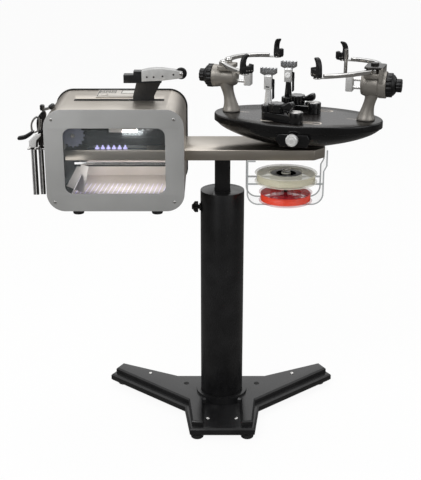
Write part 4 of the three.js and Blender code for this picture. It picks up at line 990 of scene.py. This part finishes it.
# %% Post with its sleeve and fixed jaw
def clamp_post(clamp, place, sleeve_finish, sleeve_slot, boss_level, boss_scale):
    sleeve = turned(f"{clamp}_sleeve", [
        (8, 833), (8, 865.6), (9.2, 865.6), (9.5, 866.4), (8.9, 874), (7.6, 890), (6.7, 903), (6.5, 906),
    ], 48)
    dressed(placed(sleeve, place), f"{clamp}_post_body", sleeve_finish)
    jaw = coated(placed(outlined("jaw", jaw_outline(905), 4.9, 0.5), shift(y=-1, turn=to_front)), dark_chrome)
    body = coated(block("body", (-9.6, -10.5, 903), (9.6, -1.2, 938), 2.2, 4), bright_nickel)
    pin = placed(turned("pin", [(1.8, -10), (1.8, 15.2)], 20), shift(0, 3.5, 915, to_right))
    lug = block("lug", (-4, -2, 912), (4, 3.5, 918), 0.5)
    boss = turned("boss", [(7.4, 0), (7.4, 1.6), (6.4, 2.6), (3.2, 2.8), (2.8, 2), (1, 2)], 40)
    boss = placed(boss, shift(0, -10.4, boss_level, to_front))
    boss.scale = (boss_scale, boss_scale, 1)
    head = placed(joined(f"{clamp}_head_finished", [jaw, body, pin, lug, boss]), place)
    stands_for(head, f"{clamp}_post", bright_nickel)


# %% Lever with the moving jaw
def clamp_lever(clamp, place):
    lever_y = 5.9
    jaw = outlined(f"{clamp}_moving_jaw", jaw_outline(918.5), 4.9, 0.5)
    jaw = placed(jaw, place @ shift(y=lever_y, turn=to_front))
    dressed(jaw, f"{clamp}_lever_body", dark_chrome)
    grip_line = smoothed([
        (9, 880), (12, 878.2), (14.3, 882), (14, 900), (14.2, 924), (12, 927.6), (4, 927.4),
        (2, 919), (8, 914),
    ])
    grip = outlined("grip", grip_line, 4.8, 0.9, 3)
    stands_for(placed(grip, place @ shift(y=lever_y, turn=to_front)), f"{clamp}_lever", black_plastic)


# %% Both clamps
front_post = (-60, -66)
clamps = {
    "front_clamp": (front_post, (14, -88), bright_nickel, "chrome", 903, 0.45),
    "rear_clamp": ((-35, 44), (32, 39), gloss_plastic, "black_plastic", 921, 1),
}
for clamp, (post_spot, swing_spot, *post_look) in clamps.items():
    post_place = table @ shift(*post_spot)
    turn = math.atan2(swing_spot[1] - post_spot[1], swing_spot[0] - post_spot[0])
    base_place = post_place @ Matrix.Rotation(turn, 4, "Z")
    clamp_base(clamp, base_place, math.dist(post_spot, swing_spot))
    clamp_lock(clamp, base_place)
    clamp_post(clamp, post_place, *post_look)
    clamp_lever(clamp, post_place)

# %% [markdown]
# The front clamp's body has a small slot for its adjusting screw: a thin black plate of painted shade.

# %% Slot of the front clamp
# Painted shade: a thin black plate where the slot lies.
slot = block("front_clamp_slot_painted_shade", (-4.6, -10.9, 908.4), (4.6, -10.2, 911.6), 0.25)
dressed(placed(slot, table @ shift(*front_post)), "front_clamp_post_body", gloss_plastic)

# %% [markdown]
# ## The gripper's wheel and screws
#
# The string passes round a black wheel at the gripper's end, with a shallow groove for the string. Its axle
# has a chrome cap, and four dark screws hold the gripper's halves together.

# %% The gripper wheel
wheel_x, wheel_y, wheel_z, gripper_face = -104, -13, 936, -26.9
half_wheel = [(3.3, -5), (12.4, -5), (14.0, -4.2), (14.3, -3.2), (13.0, -1.2), (12.8, 0)]
wheel_rings = half_wheel + [(radius, -reach) for radius, reach in half_wheel[-2::-1]] + half_wheel[:1]
wheel = turned("gripper_wheel_finished", wheel_rings, 72, loop=True)
stands_for(placed(wheel, world @ shift(wheel_x, wheel_y, wheel_z, to_front)), "gripper_wheel", black_plastic)
screw("wheel_axle_cap", 4.6, 2.0, world @ shift(wheel_x, gripper_face, wheel_z, to_front), "puller")
for index, (x, z) in enumerate([(-189, 929), (-172, 929), (-150, 931), (-123, 935)]):
    place = world @ shift(x, gripper_face, z, to_front)
    screw(f"gripper_screw_{index + 1}", 2.3, 0.9, place, "puller", dark_plate)

# %% [markdown]
# ## The starting clamps
#
# Two small hand clamps hang in the holder beside the head. The left one has a black lever and a steel
# shank. Both shanks are blackened steel, with painted highlights as bright lines on a seam and an edge, so
# they read as dark bars with light lines.

# %% Plates and shanks of the starting clamps
def standing_plate(name, line, back, depth, material, bevel_mm=0.5):
    """A plate that stands in X and Z, from a front outline."""
    plate_piece = coated(outlined(name, line, depth, bevel_mm), material)
    return placed(plate_piece, world @ shift(y=back, turn=to_front))


def shank(x, y, bottom, half, neck_x):
    """Two dark plates, painted highlights on their seam and one edge, and a round neck."""
    top, depth = 765.6, 6.8
    # The bright_nickel strips are painted highlights on the seam and the edge.
    bars = [(x - half, x - 1.3, dark_chrome), (x - 1.3, x + 1.0, bright_nickel), 
            (x + 1.0, x + half, dark_plate), (x - half - 1.8, x - half, bright_nickel)]
    parts = []
    for a, b, material in bars:
        line = [(a, bottom), (b, bottom), (b, top), (a, top)]
        parts.append(standing_plate("bar", line, y + depth / 2, depth, material, 0.3))
    neck = coated(turned("neck", [(3.9, 765), (3.9, 771)], 24), dark_plate)
    return parts + [placed(neck, world @ shift(neck_x, y))]


# %% Left starting clamp
plate_line = [(-476, 770.4), (-476.5, 786), (-461, 801), (-446, 805), (-446, 800), (-458, 788), (-460, 770.4)]
edge_line = [(-460, 770.4), (-458, 788), (-446, 800), (-446, 794), (-454, 784), (-455.5, 770.4)]
lever_line = [(-502, 789), (-484, 791), (-466, 803), (-462, 811), (-468, 811), (-486, 801), (-502, 797)]
loop_outer = [(-467, 806), (-470, 826), (-463, 842), (-452, 848), (-446, 838), (-450, 812)]
loop_inner = [(-464, 811), (-466, 826), (-460, 838), (-453, 843), (-450, 836), (-454, 814)]
left_parts = shank(-465, -103, 649, 6, -468) + [
    standing_plate("bent_plate", plate_line, -99, 8, bright_nickel),
    standing_plate("dark_edge", edge_line, -100, 6, dark_plate),
    standing_plate("lever", smoothed(lever_line, 5), -98, 10, gloss_plastic, 2.0),
    standing_plate("loop", [smoothed(loop_outer, 5), smoothed(loop_inner, 5)], -100, 5, chrome),
]
stands_for(joined("left_starting_clamp_finished", left_parts), "left_starting_clamp", dark_plate)

# %% Right starting clamp
neck_line = [(-456, 770.4), (-456.5, 800), (-454, 812), (-442, 812), (-441, 798), (-444, 770.4)]
head_line = [(-456, 806), (-457, 834), (-447, 852), (-437, 857), (-433, 847), (-440, 826), (-443, 806)]
right_parts = shank(-450.5, -86, 645, 5, -449) + [
    standing_plate("neck_plate", neck_line, -82, 7, dark_plate),
    standing_plate("head_plate", smoothed(head_line), -82, 9, gloss_plastic, 1.0),
    standing_plate("link", [(-452, 812), (-448, 838), (-443, 838), (-447, 812)], -90.5, 3, chrome),
    standing_plate("bridge", [(-443, 856), (-443, 863), (-421, 868), (-420, 862)], -83, 6, chrome, 1.0),
]
for name, radius, spot, tilt in [("pin_head", 6, (-442, -86, 858), 0), ("roller", 6.2, (-425, -86, 864), 57)]:
    handle = coated(turned(name, [
        (0.5 * radius, 0), (0.9 * radius, 1), (radius, 4), (radius, 2.1 * radius),
        (0.6 * radius, 2.5 * radius),
    ], 32), gloss_plastic)
    tilted = Matrix.Rotation(math.radians(tilt), 4, "Y")
    right_parts.append(placed(handle, world @ shift(*spot, tilted)))
stands_for(joined("right_starting_clamp_finished", right_parts), "right_starting_clamp", dark_plate)

# %% [markdown]
# ## The knob that locks the mast
#
# A black lobed knob on the side of the column clamps the mast at its height. It has a rim of eight lobes and a
# stepped crown, on a short collar.

# %% Column knob
rim = outlined("rim", lobed(15, 2.4, 8), 10, 1.6, 3)
collar = turned("collar", [(6, -3.1), (6, 0), (9.5, 0.4), (9.5, -0.2)], 32)
crown = turned("crown", [(11.8, 9.4), (11, 12), (7.5, 13.2), (6.4, 16.4), (1, 16.9)], 40)
to_left = Matrix.Rotation(math.radians(-90), 4, "Y")
assembled("column_lock_knob", [rim, collar, crown], world @ shift(-63.2, 0, 584, to_left), black_plastic)

# %% [markdown]
# ## The reels
#
# A reel is two thin flanges, a drum between them and an open hub with spokes. The profile is turned as one
# closed loop. The string is wound on as a helix: a curve with a round bevel, about a millimetre thick, in
# fifteen turns.

# %% Reels
reel_x, reel_y, reel_height, flange, hub = 160, -58, 24, 2, 40


def reel(node, radius, wound, bottom, spool):
    top, drum = bottom + reel_height, wound - 3
    profile = [
        (hub, bottom), (radius - 0.8, bottom), (radius, bottom + 0.8), (radius, bottom + 1.4),
        (radius - 0.6, bottom + flange), (drum, bottom + flange), (drum, top - flange),
        (radius - 0.6, top - flange), (radius, top - 1.4), (radius, top - 0.8), (radius - 0.8, top),
        (45, top), (44, top - 1), (hub, top - 1.4), (hub, bottom),
    ]
    core = [(5.6, bottom), (12, bottom), (12, top - 1), (11, top), (5.6, top), (5.6, bottom)]
    web_bottom, web_top = bottom + 0.2, bottom + flange
    web = [(11.6, web_bottom), (40.4, web_bottom), (40.4, web_top), (11.6, web_top), (11.6, web_bottom)]
    parts = [turned("rim", profile, 96, loop=True), turned("core", core, 40, loop=True),
             turned("web", web, 96, loop=True)]
    for index in range(6):
        spoke = block("spoke", (11, -1.6, bottom + 1), (41, 1.6, top - 4), 0.5)
        parts.append(placed(spoke, Matrix.Rotation(math.radians(60 * index), 4, "Z")))
    return assembled(node, parts, world @ shift(reel_x, reel_y), spool)


# %% String on the reels
def wound_string(node, wound, bottom, material, turns=15, turn_steps=48, thickness=1.15):
    low, high = bottom + 2.4 + thickness / 2, bottom + 21.6 - thickness / 2
    steps = turns * turn_steps
    line = bpy.data.curves.new(f"{node}_finished", "CURVE")
    line.dimensions = "3D"
    line.bevel_depth = thickness / 2000
    line.bevel_resolution = 1
    spline = line.splines.new("POLY")
    spline.points.add(steps)
    reach = wound - thickness / 2
    for step, point in enumerate(spline.points):
        angle = 2 * math.pi * step / turn_steps
        x, y = reel_x + reach * math.cos(angle), reel_y + reach * math.sin(angle)
        point.co = (*at(x, y, low + (high - low) * step / steps), 1)
    piece = bpy.data.objects.new(f"{node}_finished", line)
    bpy.context.scene.collection.objects.link(piece)
    only(piece)
    bpy.ops.object.convert(target="MESH")
    return stands_for(bpy.context.object, node, material, 60)


# %% Both reels, with a dark ring of painted shade in the upper hub, and the nut over them
for level, radius, wound, bottom, spool, string in [
    ("upper", 79, 74, 670.3, clear_spool, cream_string), ("lower", 68, 63.5, 619.6, red_spool, red_string),
]:
    reel(f"{level}_reel", radius, wound, bottom, spool)
    wound_string(f"{level}_winding", wound, bottom, string)
# Painted shade: a dark ring over the upper reel's hub, where its openings lie in shade.
ring = turned("upper_reel_painted_shade_ring", [(25, 691.3), (26, 692.1), (38, 692.1), (39, 691.3)], 64)
reel_place = world @ shift(reel_x, reel_y)
dressed(placed(ring, reel_place), "upper_reel_body", dark_plate)
nut_rings = [(9, 694.8), (11, 695.6), (11, 701), (9, 702.4), (6, 702.6), (6, 704.4), (5, 705)]
nut = turned("spindle_nut", nut_rings, 6)
dressed(placed(nut, reel_place), "mast", chrome)

# %% [markdown]
# ## Screws of the stand
#
# Chromed socket screws hold the base's legs together, and two open holes take a transport bolt. Each hole
# is a shallow black dish of painted shade.

# %% Screws and holes
for index, spot in enumerate([(-38, -140, 35.2), (38, -140, 35.2), (-204, 93, 50.2), (204, 93, 50.2)]):
    screw(f"base_screw_{index + 1}", 5.2, 2.6, world @ shift(*spot), "stand")
hole_x, hole_y = 99, 32
hole_rings = [(7.2, 50.2), (7.2, 50.9), (6.2, 51), (5.6, 50.5), (1, 50.45)]
for index, x in enumerate((-hole_x, hole_x)):
    # Each hole is drawn as a shallow black dish: painted shade.
    hole = turned(f"base_hole_painted_shade_{index + 1}", hole_rings, 32)
    dressed(placed(hole, world @ shift(x, hole_y)), "stand", rubber)
upside_down = Matrix.Rotation(math.pi, 4, "X")
for index, x in enumerate((-62, -38)):
    place = world @ shift(x, -58, 728.5, upside_down)
    screw(f"rail_screw_{index + 1}", 4.5, 2.6, place, "mast", material=dark_plate)

# %% [markdown]
# ## Lights in the head
#
# The slots in the tray inside the head are lit from below in violet-white, and so is the foot of the bare
# clear sign. Thin strips with a faint glow of their own stand in the slots.

# %% Light strips
tray_left, tray_right, tray_floor, strip_count, lean = -383, -107, 642, 22, 9
cover = outlined("tray_cover", [(-380, -89.6), (-107.4, -89.6), (-107.4, 50), (-380, 50)], 0.4)
dressed(placed(cover, world @ shift(z=tray_floor + 0.05)), "mast", pale_coat)
strip_pitch = (tray_right - tray_left - lean - 12) / strip_count
strips = []
for index in range(strip_count):
    x = tray_left + 9 + strip_pitch * index
    line = [(x, -89), (x + 1.1, -89), (x + 1.0 + lean, 14), (x + 0.2 + lean, 14)]
    strips.append(outlined("strip", line, 0.4))
strips = placed(joined("tray_light_strips", strips), world @ shift(z=tray_floor + 0.5))
dressed(strips, "mast", lit_strip)

# %% Lights at the foot of the sign
first_spark, spark_pitch, spark_y = -314, 14, -64.4
spark_rings = [(3, 755.8), (5.8, 756.4), (5.4, 758.4), (3.2, 761.5), (1, 766)]
sparks = [placed(turned("spark", spark_rings, 20), world @ shift(first_spark + spark_pitch * index, spark_y))
          for index in range(6)]
dressed(joined("sign_lights", sparks), "mast", violet_lamp)

# %% [markdown]
# A pale chute plate closes the tray on its left, and a bright folded rim runs along its top, just under the
# rail, with a black strip of painted shadow below it. Behind the gear a white lamp housing and a black block
# run under the roof.

# %% Chute, rim and lamp housing
nothing_selected()
bpy.ops.mesh.primitive_plane_add()
chute = named("chute_plate")
chute_corners = [(-347.5, -100, 651.5), (-395, -60, 658), (-332, -100, 720), (-362, -60, 717)]
for vertex, corner in zip(chute.data.vertices, chute_corners):
    vertex.co = at(*corner)
sheet = chute.modifiers.new("sheet", "SOLIDIFY")
sheet.thickness = 0.0015
dressed(apply_modifiers(chute), "mast", pale_coat)
for name, low, high, bevel, material, slot in [
    ("tray_rim", (-372, -71, 716.6), (-108, -69, 723.5), 0.6, turned_aluminium, "brushed_steel"),
    # A black strip of painted shadow under the rim.
    ("painted_shadow_under_rim", (-372, -71, 712.4), (-108, -69.4, 716.2), 0.4, rubber, "rubber_foot"),
    ("lamp_housing", (-284, -62, 797), (-214, -44, 812), 1.5, pale_coat, "pale_paint"),
    # A black block that darkens the band under the roof.
    ("dark_block_under_roof", (-330, -40, 796), (-200, -24, 830), 1.5, black_plastic, "black_plastic"),
]:
    dressed(placed(block(name, low, high, bevel), world), "mast", material)
bolt = turned("gear_bolt", [(5.6, 0), (5.6, 2), (4.8, 3), (1, 3.2)], 32)
dressed(placed(bolt, world @ shift(-372, -80, 793, to_front)), "gear", satin_chrome)

# %% [markdown]
# ## The floor and the light
#
# The photograph has a plain white ground and a soft, even light. A pale floor reaches past the frame on
# every side. To the camera it shows nearly white. In gloss it is darker, as the unlit part of a studio is,
# so that black coats stay black and chrome gets its contrast. The room's light is bright overhead and dim
# near the horizon for the same reason.

# %% Floor
nothing_selected()
bpy.ops.mesh.primitive_plane_add(size=60, location=(0, 0, floor_z))
floor = named("studio_floor")
floor_paint = surface("pale_floor", 0xF4F4F2, 0.0, 0.9)
matt = floor_paint.node_tree.nodes["Principled BSDF"]
rays = add_node(floor_paint, "ShaderNodeLightPath")
to_camera = add_node(floor_paint, "ShaderNodeMath", {
    0: rays.outputs["Is Camera Ray"], 1: rays.outputs["Is Transmission Ray"],
}, operation="MAXIMUM")
white = add_node(floor_paint, "ShaderNodeEmission", {"Color": (1, 1, 1, 1), "Strength": 1.0})
soft_shadow = add_node(floor_paint, "ShaderNodeMixShader", {
    0: 0.93, 1: matt.outputs["BSDF"], 2: white.outputs["Emission"],
})
dim = add_node(floor_paint, "ShaderNodeEmission", {"Color": (0.16, 0.156, 0.15, 1), "Strength": 1.0})
in_gloss = add_node(floor_paint, "ShaderNodeMixShader", {
    0: rays.outputs["Is Glossy Ray"], 1: matt.outputs["BSDF"], 2: dim.outputs["Emission"],
})
shown = add_node(floor_paint, "ShaderNodeMixShader", {
    0: to_camera.outputs["Value"], 1: in_gloss.outputs["Shader"], 2: soft_shadow.outputs["Shader"],
})
floor_output = floor_paint.node_tree.nodes["Material Output"].inputs["Surface"]
floor_paint.node_tree.links.new(shown.outputs["Shader"], floor_output)
coated(floor, floor_paint)

# %% [markdown]
# The room is a ring of five softboxes, seen only in gloss. For everything else it gives one even level.

# %% Room
even_level, softbox_count = 0.56, 5.0
sky = bpy.data.worlds.new("studio_room")
bpy.context.scene.world = sky
sky.use_nodes = True
back = sky.node_tree.nodes["Background"]
back.inputs["Color"].default_value = (1, 1, 1, 1)
look = add_node(sky, "ShaderNodeNewGeometry")
axes = add_node(sky, "ShaderNodeSeparateXYZ", {"Vector": look.outputs["Incoming"]})
height = add_node(sky, "ShaderNodeMapRange", {
    "Value": axes.outputs["Z"], "From Min": -0.36, "From Max": -0.02, "To Min": 1.05, "To Max": 0.15,
})
azimuth = add_node(sky, "ShaderNodeMath", {0: axes.outputs["Y"], 1: axes.outputs["X"]}, operation="ARCTAN2")
turns = add_node(sky, "ShaderNodeMath", {
    0: azimuth.outputs["Value"], 1: -softbox_count,
}, operation="MULTIPLY")
wave = add_node(sky, "ShaderNodeMath", {0: turns.outputs["Value"]}, operation="SINE")
panels = add_node(sky, "ShaderNodeMapRange", {
    "Value": wave.outputs["Value"], "From Min": -0.35, "From Max": 0.35, "To Min": 0.35, "To Max": 1.3,
})
softboxes = add_node(sky, "ShaderNodeMath", {
    0: height.outputs["Result"], 1: panels.outputs["Result"],
}, operation="MULTIPLY")
room_rays = add_node(sky, "ShaderNodeLightPath")
room = add_node(sky, "ShaderNodeMix", {
    0: room_rays.outputs["Is Glossy Ray"], 2: even_level, 3: softboxes.outputs["Value"],
}, data_type="FLOAT")
sky.node_tree.links.new(room.outputs[0], back.inputs["Strength"])


# %% Lamps
def lamp(name, place, target, size, power):
    data = bpy.data.lights.new(name, "AREA")
    data.size = size
    data.energy = power
    light = bpy.data.objects.new(name, data)
    light.location = place
    light.rotation_euler = (Vector(target) - Vector(place)).to_track_quat("-Z", "Y").to_euler()
    bpy.context.scene.collection.objects.link(light)
    return light


lamp("key_lamp", (-1.6, -2.2, 3.0), (0, 0, 0.6), 1.8, 42)
lamp("fill_lamp", (2.4, -1.6, 1.8), (0, 0, 0.7), 1.6, 12)
lamp("top_lamp", (0.2, 0.8, 3.2), (0, 0, 0.7), 2.0, 30)
tray_lamp = lamp("head_lamp", at(-245, -58, 706), at(-245, 52, 680), 0.22, 0.15)
tray_lamp.data.shape = "RECTANGLE"
tray_lamp.data.size_y = 0.02
tray_lamp.data.color = (1.0, 0.96, 0.93)
lamp("gear_lamp", at(-225, -60, 815), at(-225, 110, 785), 0.05, 0.18)
lamp("chute_lamp", at(-392, -116, 706), at(-362, -70, 680), 0.05, 0.012)
roof_lamp = lamp("head_top_lamp", (-0.62, -0.42, 1.16), at(-265, -100, 830), 0.3, 2.0)
roof_lamp.visible_glossy = False
bpy.context.scene.view_settings.view_transform = "Standard"
